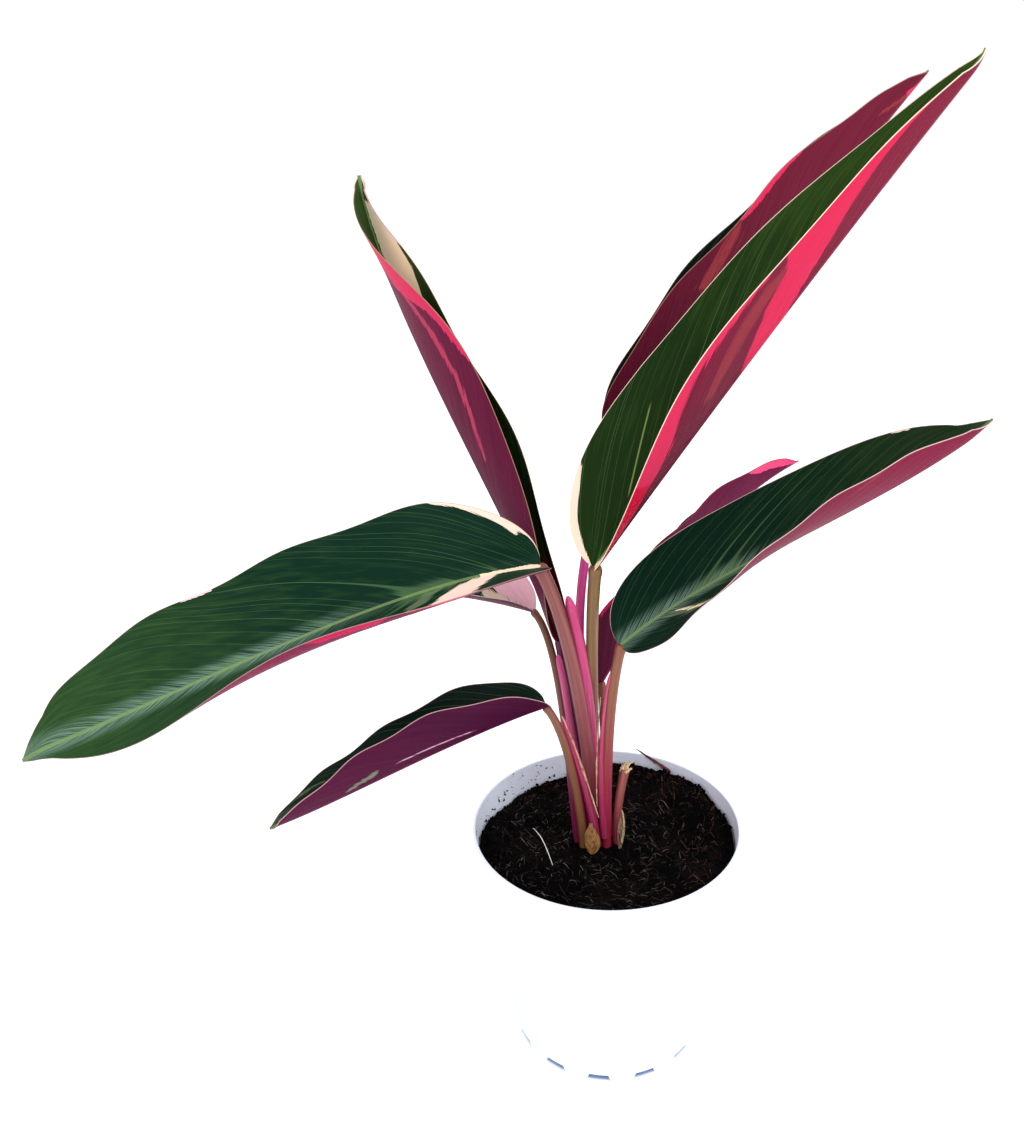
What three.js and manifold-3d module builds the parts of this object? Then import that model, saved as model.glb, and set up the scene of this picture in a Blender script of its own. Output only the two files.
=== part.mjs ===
// A prayer plant (Stromanthe 'Triostar' type) growing in a white plastic nursery pot.
// Millimetres and degrees, +Z up. The origin is the middle of the pot's base, on the ground.
// -Y is the front of the plant and +X its right.
import * as THREE from 'three';
import { mergeVertices } from 'three/addons/utils/BufferGeometryUtils.js';
import Module from 'manifold-3d';

const wasm = await Module();
wasm.setup();

// ---------------------------------------------------------------- driving dimensions

const GAP = 0.3; // clearance between pieces that touch

const POT = {
  height: 109, rimRadius: 60, // the size a nursery sells as a 12 cm pot
  collarHeight: 21, collarRadius: 58.5, // wider band at the top, radius at its lower edge
  shoulderRadius: 53.9, footRadius: 43.6, // tapered wall, just under the collar and at the ground
  wall: 1.2, edge: 0.5, // wall thickness, and the small chamfer on its edges
  floorLevel: 2.5, floorThickness: 1.6, footRing: 3, bossRadius: 15,
  notches: 13, notchWidth: 9, notchHeight: 3.6, firstNotch: -94.5,
  drains: 6, drainRadius: 3.5, drainCircle: 28,
};

const SOIL = { level: 97, lumps: 1.3, crumbs: 0.6, rings: 6, segments: 36 };
const HOLLOW = { x: -34, y: 30, depth: 2.5, reach: 22 }; // dip in the soil at the back left
// Soil heaped against the wall at the back right; its turn and spread about the pot, in radians
const BANK = { turn: 0.9, spread: 0.84, height: 7.5, start: 34 };

// The clump: all stalks stand on the flat top of the rhizome, a little below the soil surface
const CROWN = { x: -4, y: 4, top: 95.7, radius: 13, depth: 24 };
const STALK_FOOT = CROWN.top + 2 * GAP;

const ROOTS = { count: 5, reach: 22, drop: 38, thick: 2.4, thin: 0.8, firstTurn: 22 };

// Blades. Each midrib is a cubic Bezier curve from the stalk to the tip, and its last part bends
// by the hook. Left and right are the two halves, seen along the midrib from the base with the
// upper face up. Widest is where along the midrib the blade is widest, a higher fullness keeps it
// wide for longer beyond that, and a lower point makes its tip blunter. Roll turns the blade
// about its midrib, fold lifts each half beside the midrib and curl is how much further the half
// turns by its margin; each is given at the base, the middle and the tip. The waves are the height
// and number of the ripples of each margin, and where in a ripple it begins.
const LEAVES = {
  tall_front: {
    midrib: [[-4, -12, 237], [44, -8, 306], [84, -20, 367], [119, -30, 416.5]], hook: [-2, 0, 0],
    halfWidths: [34, 30], widest: 0.3, fullness: 1.4, point: 0.9, roll: [30, 14, 5],
    folds: [[40, 45, 88], [30, 48, 40]], curls: [[40, 10, 2], [5, 5, 5]],
    waves: [[1, 2, 0.1], [1, 2, 0.5]],
  },
  tall_back: {
    midrib: [[6, 38, 272], [44, 42, 318], [86, 54, 367], [119.5, 50, 411]], hook: [3, 0, 3.5],
    halfWidths: [28, 34], widest: 0.36, fullness: 1.5, point: 0.7, roll: [10, 17, -10],
    folds: [[70, 65, 80], [60, 60, 65]], curls: [[35, 35, 20], [35, 30, 25]],
    waves: [[1.2, 3, 0], [1.2, 3, 0.2]],
  },
  upright_left: {
    midrib: [[-19, 9, 195], [-51, 22, 272], [-87, 24, 334], [-96, 38, 383]], hook: [0, 0, 2],
    halfWidths: [30, 26], widest: 0.46, fullness: 2.3, point: 0.9, roll: [-30, -15, -60],
    folds: [[35, 65, 40], [50, 75, 65]], curls: [[15, 30, 15], [80, 30, 30]],
    waves: [[1.5, 2, 0], [2.2, 2.5, 0.3]],
  },
  broad_left: {
    midrib: [[-25, -12, 238], [-75, -55, 252], [-156, -90, 217], [-188, -114, 214]],
    hook: [-3, -2, -2],
    halfWidths: [33, 39], widest: 0.42, fullness: 2.2, point: 0.8, roll: [-18, -10, -30],
    folds: [[18, 5, 10], [45, 10, 25]], curls: [[15, 50, 10], [15, 15, 10]],
    waves: [[2.5, 2, 0.2], [1.2, 4, 0.5]],
  },
  small_left: {
    midrib: [[-30, 15, 206], [-63, 20, 214], [-98, 25, 216], [-128, 25, 199]], hook: [0, 0, 0],
    halfWidths: [20, 22], widest: 0.36, fullness: 1.9, point: 1, roll: [-15, -15, 0],
    folds: [[40, 40, 40], [45, 40, 30]], curls: [[15, 15, 10], [10, 10, 5]],
    waves: [[0.8, 3, 0.05], [0.8, 3, 0.55]],
  },
  low_left: {
    midrib: [[-24, -14, 176], [-62, -34, 172], [-103, -57, 157], [-130, -67, 151]],
    hook: [0, 0, 0],
    halfWidths: [21, 21], widest: 0.35, fullness: 1.6, point: 0.8, roll: [-17, 10, -5],
    folds: [[55, 60, 50], [44, 41, 36]], curls: [[15, 20, 10], [10, 5, 5]],
    waves: [[0.8, 4, 0.75], [0.8, 4, 0.25]],
  },
  broad_right: {
    midrib: [[6, -14, 204], [43, -7, 236], [99, -25, 265], [132, -28, 295.5]], hook: [3, 0, 4],
    halfWidths: [31, 26], widest: 0.43, fullness: 1.85, point: 0.75, roll: [30, 13, 15],
    folds: [[20, 14, 36], [-12, 28, 60]], curls: [[10, 20, 30], [35, 20, 20]],
    waves: [[1.2, 1, 0.25], [0.6, 5, 0]],
  },
  back_right: {
    midrib: [[-2, 13, 172], [22, 23, 212], [49, 36, 248], [83, 44, 264]], hook: [0, 0, 0],
    halfWidths: [20, 24], widest: 0.36, fullness: 1.8, point: 0.8, roll: [-20, -25, -15],
    folds: [[30, 25, 25], [62, 33, 62]], curls: [[10, 10, 10], [20, 10, 10]],
    waves: [[0.8, 4, 0.95], [0.8, 4, 0.45]],
  },
};

const BLADE = {
  thickness: 0.7,
  rib: 0.035, ribTaper: 0.02, // depth of the midrib at the base and its loss by the tip, per width
  lengthSteps: 22, shares: [0, 0.1, 0.55, 1], // grid of one face: along, and across one half
  tipHalfWidth: 0.8, // blades end in a narrow drip tip
  flatBelow: 4, waveFull: 15, // where a half is narrower, its fold or its ripples fade out
  baseRoundness: 2.4,
};

const KNUCKLE = 4; // length of the swollen joint between a stalk and its blade
const ROD_SIDES = 8; // stalks, sheaths and roots are rods with this many sides

// Stalks: the foot on the crown, two control points, and the radii at the foot and the top.
// Each ends at the base of its leaf's midrib.
const STALKS = {
  tall_front: { foot: [-3, 7.5], bends: [[-5, 9, 140], [-7, 0, 200]], radii: [2.4, 2.6] },
  tall_back: { foot: [-1, 12.5], bends: [[-9, 13, 160], [-22, 15, 215]], radii: [2, 2] },
  upright_left: { foot: [-8, 7], bends: [[-9, 10, 130], [-17, 10, 165]], radii: [2, 2] },
  broad_left: { foot: [-4.5, 1.5], bends: [[-6, -1, 140], [-12.5, -6, 209]], radii: [2.9, 2.9] },
  small_left: { foot: [-12.5, 1.8], bends: [[-16.2, 3.8, 130], [-18, 6, 198]], radii: [1.9, 1.6] },
  low_left: { foot: [-9.5, -3.5], bends: [[-11, -6, 125], [-16, -16, 167]], radii: [2.3, 1.7] },
  broad_right: { foot: [0.5, -2], bends: [[0.5, -6, 140], [1, -11, 178]], radii: [2.2, 2.2] },
  back_right: { foot: [1.8, 3.2], bends: [[0.5, 2.5, 130], [-0.5, 5.5, 150]], radii: [1.8, 1.7] },
};

// Sheaths: fleshy wings beside the stalks, with a rounded top
const SHEATHS = {
  low_left: { path: [[-4, -4, 99], [-6, -8, 128], [-13, -11, 152], [-18, -12, 170]],
    radii: [2.2, 1.2] },
  broad_left: { path: [[-4, 0, 104], [-5, 2, 150], [-7, -3, 190], [-15, -5, 222]],
    radii: [2.2, 2.6] },
  broad_right: { path: [[-0.5, -5, 104], [-3, -6, 135], [-1, -8, 172], [3, -13, 192]],
    radii: [1.6, 1.2] },
  small_left: { path: [[-13, 0, 145], [-15.5, 1, 160], [-17.5, 2, 180], [-20, 3.5, 191]],
    radii: [1.6, 1.4] },
};

const STUB = { path: [[5, -0.5, STALK_FOOT], [4.5, -1, 110], [6, 1, 124], [8.8, 3, 134]],
  radii: [1.7, 2.1] };

// Dry bracts at the foot of the clump, built like small blades
const BRACTS = {
  bract_front: {
    midrib: [[-6, -9.5, 98.5], [-6, -11, 104], [-6.5, -12, 110], [-6.3, -11.5, 116]],
    hook: [0, 0, 0], halfWidths: [4, 4], widest: 0.4, fullness: 1.6, point: 1, roll: [0, 0, 0],
    folds: [[20, 20, 20], [20, 20, 20]], curls: [[20, 20, 10], [20, 20, 10]],
    waves: [[0, 1, 0], [0, 1, 0]],
  },
  bract_right: {
    midrib: [[5.8, -5, 98.5], [8, -6.3, 104], [9, -5, 112], [7, -4.6, 118]],
    hook: [0, 0, 0], halfWidths: [3, 3], widest: 0.5, fullness: 2.2, point: 1, roll: [0, 0, 0],
    folds: [[10, 20, 10], [10, 20, 10]], curls: [[30, 50, 30], [30, 50, 30]],
    waves: [[0, 1, 0], [0, 1, 0]],
  },
};

// ---------------------------------------------------------------- finishes

const finish = (color, roughness) =>
  new THREE.MeshStandardMaterial({ color, roughness, metalness: 0 });
const WHITE_PLASTIC = '#f1f1f4';
const DARK_PEAT = '#1d1512';
const GREEN_BLADE = '#24452f';
const STALK_BROWN = '#a2705c';
const SHEATH_PINK = '#c4497f';
const DRY_BRACT = '#8c6a45';
const RHIZOME_TAN = '#b08a63';

// ---------------------------------------------------------------- helpers

const radians = THREE.MathUtils.degToRad;

// A value given at the base, the middle and the tip, read anywhere between
const along = ([base, middle, tip], t) =>
  base * (1 - t) * (1 - 2 * t) + middle * 4 * t * (1 - t) + tip * t * (2 * t - 1);

const bezier = (points) =>
  new THREE.CubicBezierCurve3(...points.map((point) => new THREE.Vector3(...point)));

// A closed manifold solid from a closed geometry, with its faces pointing out
function toSolid(geometry) {
  let shell = geometry.index ? geometry : mergeVertices(geometry);
  shell.deleteAttribute('normal');
  shell.deleteAttribute('uv');
  shell = mergeVertices(shell, 1e-4);
  const corners = [];
  for (let i = 0; i < shell.index.count; i += 3) {
    const triangle = [shell.index.getX(i), shell.index.getX(i + 1), shell.index.getX(i + 2)];
    if (new Set(triangle).size === 3) corners.push(...triangle);
  }
  const build = (order) => new wasm.Manifold(new wasm.Mesh({
    numProp: 3,
    vertProperties: new Float32Array(shell.attributes.position.array),
    triVerts: new Uint32Array(order),
  }));
  const solid = build(corners);
  return solid.volume() > 0 ? solid : build(corners.reverse());
}

// The largest body of a solid, so that no loose scrap is left by a cut
function largestBody(solid) {
  const bodies = solid.decompose();
  return bodies.reduce((best, body) => (body.volume() > best.volume() ? body : best));
}

function toMesh(name, solid, material) {
  const { vertProperties, triVerts } = solid.getMesh();
  const geometry = new THREE.BufferGeometry();
  geometry.setAttribute('position', new THREE.BufferAttribute(vertProperties, 3));
  geometry.setIndex(new THREE.BufferAttribute(triVerts, 1));
  geometry.computeVertexNormals();
  const mesh = new THREE.Mesh(geometry, material);
  mesh.name = name;
  return mesh;
}

function closedGeometry(points, triangles) {
  const geometry = new THREE.BufferGeometry();
  geometry.setAttribute('position', new THREE.Float32BufferAttribute(points.flat(), 3));
  geometry.setIndex(triangles);
  return geometry;
}

// A profile of [radius, height] points turned about the Z axis
function turned(profile, segments) {
  const points = profile.map(([radius, height]) => new THREE.Vector2(radius, height));
  return new THREE.LatheGeometry(points, segments).rotateX(Math.PI / 2);
}

// A round rod along part of a curve, from one share of its length to another. RadiusAt(t) is
// its radius, with t from 0 at the rod's start to 1 at its end.
function rod(curve, radiusAt, rings, from = 0, to = 1) {
  const points = [];
  const triangles = [];
  const across = new THREE.Vector3(1, 0, 0);
  for (let i = 0; i <= rings; i += 1) {
    const place = from + ((to - from) * i) / rings;
    const centre = curve.getPointAt(place);
    const forward = curve.getTangentAt(place);
    across.addScaledVector(forward, -across.dot(forward)).normalize();
    const beside = new THREE.Vector3().crossVectors(forward, across);
    for (let k = 0; k < ROD_SIDES; k += 1) {
      const turn = (2 * Math.PI * k) / ROD_SIDES;
      const reach = radiusAt(i / rings);
      points.push(centre.clone().addScaledVector(across, reach * Math.cos(turn))
        .addScaledVector(beside, reach * Math.sin(turn)).toArray());
      if (i === 0) continue;
      const [a, b] = [i * ROD_SIDES + k, i * ROD_SIDES + ((k + 1) % ROD_SIDES)];
      triangles.push(a - ROD_SIDES, b - ROD_SIDES, b, a - ROD_SIDES, b, a);
    }
  }
  const start = points.push(curve.getPointAt(from).toArray()) - 1;
  const end = points.push(curve.getPointAt(to).toArray()) - 1;
  for (let k = 0; k < ROD_SIDES; k += 1) {
    const next = (k + 1) % ROD_SIDES;
    triangles.push(start, next, k, end, rings * ROD_SIDES + k, rings * ROD_SIDES + next);
  }
  return closedGeometry(points, triangles);
}

// ---------------------------------------------------------------- blades

// The midrib's point and the blade's own axes at t: forward, across to the right, and up
function midribFrame(leaf, t) {
  const hookStart = 0.95;
  const curve = bezier(leaf.midrib);
  const hook = new THREE.Vector3(...leaf.hook);
  const bend = Math.max(0, (t - hookStart) / (1 - hookStart));
  const point = curve.getPoint(t).addScaledVector(hook, bend * bend);
  const speed = 3 * Math.pow(1 - t, 2);
  const forward = new THREE.Vector3()
    .addScaledVector(curve.v1.clone().sub(curve.v0), speed)
    .addScaledVector(curve.v2.clone().sub(curve.v1), 6 * t * (1 - t))
    .addScaledVector(curve.v3.clone().sub(curve.v2), 3 * t * t)
    .addScaledVector(hook, (2 * bend) / (1 - hookStart))
    .normalize();
  const chord = curve.v3.clone().sub(curve.v0);
  const level = new THREE.Vector3(chord.y, -chord.x, 0).normalize();
  const flatRight = level.addScaledVector(forward, -level.dot(forward)).normalize();
  const roll = radians(along(leaf.roll, t));
  const up = new THREE.Vector3().crossVectors(flatRight, forward)
    .multiplyScalar(Math.cos(roll)).addScaledVector(flatRight, Math.sin(roll));
  const right = new THREE.Vector3().crossVectors(forward, up);
  return { point, forward, right, up };
}

// How wide the blade is at t, as a share of its half width: a round base and a pointed tip
function outline(leaf, t) {
  if (t < leaf.widest) return Math.sqrt(1 - Math.pow(1 - t / leaf.widest, BLADE.baseRoundness));
  const beyond = (t - leaf.widest) / (1 - leaf.widest);
  return Math.pow(1 - Math.pow(beyond, leaf.fullness), leaf.point);
}

// A point of the upper face and the outward direction of that face. Share is 0 at the midrib
// and 1 at the margin, and side is -1 for the left half and 1 for the right one.
function bladePoint(leaf, t, side, share) {
  const { point, right, up } = midribFrame(leaf, t);
  const half = (side + 1) / 2;
  const width = Math.max(leaf.halfWidths[half] * outline(leaf, t), BLADE.tipHalfWidth);
  const flatten = Math.min(1, width / BLADE.flatBelow);
  const fold = radians(along(leaf.folds[half], t)) * flatten;
  const curl = radians(along(leaf.curls[half], t)) * flatten;
  const [height, count, start] = leaf.waves[half];
  const turn = fold + curl * share;
  const out = (width * (Math.sin(turn) - Math.sin(fold))) / curl;
  const ripple = height * Math.sin(2 * Math.PI * (count * t + start))
    * share * share * Math.min(1, width / BLADE.waveFull);
  const lift = (width * (Math.cos(fold) - Math.cos(turn))) / curl + ripple;
  const facing = share === 0 ? 0 : turn;
  return {
    place: point.addScaledVector(right, side * out).addScaledVector(up, lift),
    normal: up.clone().multiplyScalar(Math.cos(facing))
      .addScaledVector(right, -side * Math.sin(facing)),
  };
}

// A thin closed blade. Both faces share one grid and one way of splitting it into triangles.
function blade(leaf, lengthSteps) {
  const leftShares = BLADE.shares.slice(1).reverse().map((share) => -share);
  const stations = [...leftShares, ...BLADE.shares];
  const acrossSteps = stations.length - 1;
  const widestHalf = Math.max(...leaf.halfWidths);
  const upper = [];
  const lower = [];
  for (let i = 0; i <= lengthSteps; i += 1) {
    const u = i / lengthSteps;
    const t = u * u * (3 - 2 * u);
    const rib = Math.max(BLADE.thickness, widestHalf * (BLADE.rib - BLADE.ribTaper * t));
    for (const station of stations) {
      const { place, normal } = bladePoint(leaf, t, Math.sign(station) || 1, Math.abs(station));
      const thickness = station === 0 ? rib : BLADE.thickness;
      upper.push(place.toArray());
      lower.push(place.addScaledVector(normal, -thickness).toArray());
    }
  }
  const row = acrossSteps + 1;
  const below = upper.length;
  const triangles = [];
  const quad = (a, b, c, d) => triangles.push(a, b, c, a, c, d);
  for (let i = 0; i < lengthSteps; i += 1) {
    for (let j = 0; j < acrossSteps; j += 1) {
      const a = i * row + j;
      const d = a + row;
      quad(a, a + 1, d + 1, d);
      triangles.push(below + a, below + d + 1, below + a + 1, below + a, below + d, below + d + 1);
    }
    const [first, last] = [i * row, i * row + acrossSteps];
    quad(first, first + row, below + first + row, below + first);
    quad(last + row, last, below + last, below + last + row);
  }
  for (let j = 0; j < acrossSteps; j += 1) {
    const tip = lengthSteps * row + j;
    quad(j + 1, j, below + j, below + j + 1);
    quad(tip, tip + 1, below + tip + 1, below + tip);
  }
  return closedGeometry([...upper, ...lower], triangles);
}

// ---------------------------------------------------------------- pot

function makePot() {
  const { height, rimRadius, collarHeight, collarRadius, shoulderRadius, footRadius } = POT;
  const { wall, edge, floorLevel, floorThickness, footRing, bossRadius } = POT;
  const shoulder = height - collarHeight;
  const floorTop = floorLevel + floorThickness;
  const profile = [
    [0, 0], [bossRadius, 0], [bossRadius, floorLevel],
    [footRadius - footRing, floorLevel], [footRadius - footRing, 0], [footRadius, 0],
    [shoulderRadius, shoulder - edge], [collarRadius - edge, shoulder],
    [collarRadius, shoulder + edge], [rimRadius, height - edge], [rimRadius - edge, height],
    [rimRadius - wall, height - edge / 2],
    [collarRadius - wall, shoulder + wall], [shoulderRadius - wall, shoulder - wall],
    [footRadius - wall, floorTop], [0, floorTop],
  ];
  let pot = toSolid(turned(profile, 44));
  for (let i = 0; i < POT.notches; i += 1) {
    const turn = radians(POT.firstNotch + (360 * i) / POT.notches);
    const slot = new THREE.BoxGeometry(3 * footRing, POT.notchWidth, 2 * POT.notchHeight)
      .translate(footRadius, 0, 0).rotateZ(turn);
    pot = pot.subtract(toSolid(slot));
  }
  for (let i = 0; i < POT.drains; i += 1) {
    const turn = radians((360 * i) / POT.drains);
    const drain = new THREE.CylinderGeometry(POT.drainRadius, POT.drainRadius, 4 * floorTop, 16)
      .rotateX(Math.PI / 2).translate(POT.drainCircle, 0, 0).rotateZ(turn);
    pot = pot.subtract(toSolid(drain));
  }
  return pot;
}

// ---------------------------------------------------------------- rhizome and soil

// The short underground stem with its roots. Grow makes the slightly larger hollow for it.
function makeRhizome(grow) {
  const { x, y, top, radius, depth } = CROWN;
  const bottom = top - depth;
  const profile = [
    [0, bottom - grow], [radius * 0.6 + grow, bottom - grow],
    [radius * 1.1 + grow, bottom + depth * 0.4], [radius * 1.15 + grow, top - depth * 0.25],
    [radius + grow, top + grow], [0, top + grow],
  ];
  let rhizome = toSolid(turned(profile, 20).translate(x, y, 0));
  for (let i = 0; i < ROOTS.count; i += 1) {
    const turn = radians(ROOTS.firstTurn + (360 * i) / ROOTS.count);
    const reach = ROOTS.reach * (1 - 0.25 * (i % 2));
    const at = (share, z) => [x + share * Math.cos(turn), y + share * Math.sin(turn), z];
    const path = bezier([
      at(radius * 0.5, bottom + depth * 0.4), at(radius * 1.2, bottom + depth * 0.3),
      at(reach, bottom - ROOTS.drop * 0.3), at(reach, bottom - ROOTS.drop - 2 * grow),
    ]);
    const radiusAt = (t) => grow + ROOTS.thick + (ROOTS.thin - ROOTS.thick) * t;
    rhizome = rhizome.add(toSolid(rod(path, radiusAt, 5)));
  }
  return rhizome;
}

// How high the soil stands at a place: lumps and crumbs, a hollow and a bank
function soilHeight(x, y) {
  const lumps = Math.sin(x / 9 + 1.2) * Math.cos(y / 8 - 0.4);
  const crumbs = Math.sin(x / 3.7 + y / 4.9) * Math.cos(y / 3.1 - x / 6.3);
  const away = Math.hypot(x - HOLLOW.x, y - HOLLOW.y) / HOLLOW.reach;
  const dip = HOLLOW.depth * Math.exp(-away * away);
  const aside = (Math.atan2(y, x) - BANK.turn) / BANK.spread;
  const climb = Math.max(0, (Math.hypot(x, y) - BANK.start) / (POT.collarRadius - BANK.start));
  const bank = BANK.height * Math.exp(-aside * aside) * climb * climb * (3 - 2 * climb);
  return SOIL.level + SOIL.lumps * lumps + SOIL.crumbs * crumbs - dip + bank;
}

function makeSoil() {
  const { height, collarHeight, collarRadius, shoulderRadius, footRadius, wall } = POT;
  const shoulder = height - collarHeight;
  const bottom = POT.floorLevel + POT.floorThickness + GAP;
  const inset = wall + 2 * GAP;
  const profile = [
    [0, bottom], [footRadius - inset, bottom],
    [shoulderRadius - inset, shoulder - wall], [collarRadius - inset, shoulder + wall + GAP],
  ];
  const edgeRadius = collarRadius - inset + GAP;
  for (let i = SOIL.rings; i >= 0; i -= 1) {
    profile.push([(edgeRadius * i) / SOIL.rings, SOIL.level]);
  }
  const body = turned(profile, SOIL.segments);
  const position = body.attributes.position;
  for (let i = 0; i < position.count; i += 1) {
    if (position.getZ(i) < SOIL.level - 1) continue;
    position.setZ(i, soilHeight(position.getX(i), position.getY(i)));
  }
  const shaft = new THREE.CylinderGeometry(CROWN.radius + GAP, CROWN.radius + GAP, 20, 28)
    .rotateX(Math.PI / 2).translate(CROWN.x, CROWN.y, CROWN.top + 8);
  return toSolid(body).subtract(makeRhizome(GAP)).subtract(toSolid(shaft));
}

// ---------------------------------------------------------------- stalks, sheaths and stub

// A stalk's curve runs from its foot on the crown to just inside the base of its blade
function stalkCurve(name) {
  const { foot, bends } = STALKS[name];
  const { point, forward } = midribFrame(LEAVES[name], 0);
  return bezier([[...foot, STALK_FOOT], ...bends, point.add(forward).toArray()]);
}

function stalkSolid(name, grow) {
  const [footRadius, topRadius] = STALKS[name].radii;
  const curve = stalkCurve(name);
  const radiusAt = (t) => grow + footRadius + (topRadius - footRadius) * t;
  return toSolid(rod(curve, radiusAt, 10, 0, 1 - (KNUCKLE + GAP) / curve.getLength()));
}

// A leaf is its blade, and the swollen knuckle on which the blade turns at the top of the stalk
function leafSolid(name) {
  const curve = stalkCurve(name);
  const swollen = STALKS[name].radii[1] * 1.1;
  const radiusAt = (t) => (t === 1 ? 0.7 * swollen : swollen);
  const knuckle = rod(curve, radiusAt, 4, 1 - KNUCKLE / curve.getLength());
  return toSolid(blade(LEAVES[name], BLADE.lengthSteps)).add(toSolid(knuckle));
}

// A rod whose top is rounded over its last part down to a small blunt end
function roundTopped({ path, radii: [low, high] }, grow) {
  const roundFrom = 0.88;
  const bluntness = 0.06;
  const radiusAt = (t) => {
    const rise = Math.max(0, (t - roundFrom) / (1 - roundFrom));
    return grow + (low + (high - low) * t) * Math.sqrt(1 - (1 - bluntness) * rise * rise);
  };
  return toSolid(rod(bezier(path), radiusAt, 12));
}

// ---------------------------------------------------------------- assembly

const plant = new THREE.Group();
const names = Object.keys(LEAVES);

plant.add(toMesh('pot', makePot(), finish(WHITE_PLASTIC, 0.45)));
plant.add(toMesh('soil', makeSoil(), finish(DARK_PEAT, 0.95)));
plant.add(toMesh('rhizome', makeRhizome(0), finish(RHIZOME_TAN, 0.8)));

for (const name of names) {
  plant.add(toMesh(`blade_${name}`, leafSolid(name), finish(GREEN_BLADE, 0.4)));
  plant.add(toMesh(`stalk_${name}`, stalkSolid(name, 0), finish(STALK_BROWN, 0.5)));
}

// Each sheath gives way to the stalks and to the sheaths in front of it
let inFront = names.map((name) => stalkSolid(name, GAP)).reduce((all, one) => all.add(one));
for (const [name, sheath] of Object.entries(SHEATHS)) {
  const wing = largestBody(roundTopped(sheath, 0).subtract(inFront));
  plant.add(toMesh(`sheath_${name}`, wing, finish(SHEATH_PINK, 0.45)));
  inFront = inFront.add(roundTopped(sheath, GAP));
}

const [stubFoot, stubTop] = STUB.radii;
const stub = toSolid(rod(bezier(STUB.path), (t) => stubFoot + (stubTop - stubFoot) * t, 6));
plant.add(toMesh('cut_stub', stub, finish(STALK_BROWN, 0.7)));

for (const [name, bract] of Object.entries(BRACTS)) {
  plant.add(toMesh(name, toSolid(blade(bract, 6)), finish(DRY_BRACT, 0.85)));
}

export default plant;
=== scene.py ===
# A prayer plant with long green, cream and pink leaves, growing in a white plastic nursery pot.
# Sizes are millimetres in the plant's own frame: the origin is the middle of the pot's base on
# the ground, +Z is up and -Y is the front. The sections follow the way the plant is put together.
import math

import bpy
import numpy as np
from mathutils import Matrix, Vector, noise


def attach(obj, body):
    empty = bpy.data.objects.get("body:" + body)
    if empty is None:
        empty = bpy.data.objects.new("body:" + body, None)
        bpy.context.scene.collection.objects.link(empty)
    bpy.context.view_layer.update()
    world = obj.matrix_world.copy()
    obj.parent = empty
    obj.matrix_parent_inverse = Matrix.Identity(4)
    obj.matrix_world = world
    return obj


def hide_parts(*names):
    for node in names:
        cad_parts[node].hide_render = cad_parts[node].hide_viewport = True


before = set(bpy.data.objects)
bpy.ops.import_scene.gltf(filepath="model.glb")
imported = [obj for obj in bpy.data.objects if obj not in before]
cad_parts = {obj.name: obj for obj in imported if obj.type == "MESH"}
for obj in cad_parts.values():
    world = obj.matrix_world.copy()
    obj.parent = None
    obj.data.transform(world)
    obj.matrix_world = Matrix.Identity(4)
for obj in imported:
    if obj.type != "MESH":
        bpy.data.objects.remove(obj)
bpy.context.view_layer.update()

MM = 0.001

# ------------------------------------------------------------------------------ camera and studio
# A camera in front of the plant looks a little down on it. The plant stands on a plain white
# floor in soft white light from all sides, with one large lamp above the camera.

CAMERA_PLACE = (0, -398, 395)
CAMERA_YAW, CAMERA_PITCH, CAMERA_ROLL = (math.radians(turn) for turn in (-5.42, -21.83, -2.24))
FOCAL_LENGTH = 33.57  # on a sensor 36 mm along the picture's long side
PLANT_MIDDLE = (0, 0, 0.2)  # metres, where the lamps aim


def add_object(name, data):
    """A new object in the scene."""
    made = bpy.data.objects.new(name, data)
    bpy.context.scene.collection.objects.link(made)
    return made


camera = add_object("camera", bpy.data.cameras.new("camera"))
bpy.context.scene.camera = camera
camera.data.lens = FOCAL_LENGTH
camera.data.sensor_width = 36
camera.data.clip_start = 0.01
level = Matrix.Rotation(-CAMERA_YAW, 4, "Z") @ Matrix.Rotation(math.pi / 2 + CAMERA_PITCH, 4, "X")
camera.matrix_world = (
    Matrix.Translation(Vector(CAMERA_PLACE) * MM) @ level @ Matrix.Rotation(CAMERA_ROLL, 4, "Z")
)

bpy.context.scene.view_settings.view_transform = "Standard"

world = bpy.data.worlds.new("white_room")
bpy.context.scene.world = world
world.use_nodes = True
room_light = world.node_tree.nodes["Background"]
room_light.inputs["Color"].default_value = (1, 1, 1, 1)
room_light.inputs["Strength"].default_value = 1.0


def add_lamp(name, place, size, watts):
    """A large soft square lamp that faces the middle of the plant."""
    data = bpy.data.lights.new(name, "AREA")
    data.size = size
    data.energy = watts
    lamp = add_object(name, data)
    lamp.location = place
    aim = Vector(PLANT_MIDDLE) - lamp.location
    lamp.rotation_euler = aim.to_track_quat("-Z", "Y").to_euler()


add_lamp("lamp_above_camera", (0.5, -1.1, 1.7), size=1.4, watts=16)
add_lamp("lamp_right", (1.5, 0.3, 1.1), size=1.2, watts=6)


def ink(red, green, blue):
    """A colour as it looks on a screen, 0 to 255, in the linear values that a shader takes."""
    shares = [value / 255 for value in (red, green, blue)]
    return [s / 12.92 if s < 0.04 else ((s + 0.055) / 1.055) ** 2.4 for s in shares] + [1.0]


def feed(socket, value):
    """Gives a node's input a link from another node, or a plain value."""
    if isinstance(value, bpy.types.NodeSocket):
        socket.id_data.links.new(value, socket)
    else:
        socket.default_value = value


def put(tree, kind, *values, **settings):
    """A shader node. Its inputs, in order, are fed the values, and None leaves one as it is."""
    made = tree.nodes.new("ShaderNode" + kind)
    for setting, value in settings.items():
        setattr(made, setting, value)
    for socket, value in zip(made.inputs, values):
        if value is not None:
            feed(socket, value)
    return made


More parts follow.
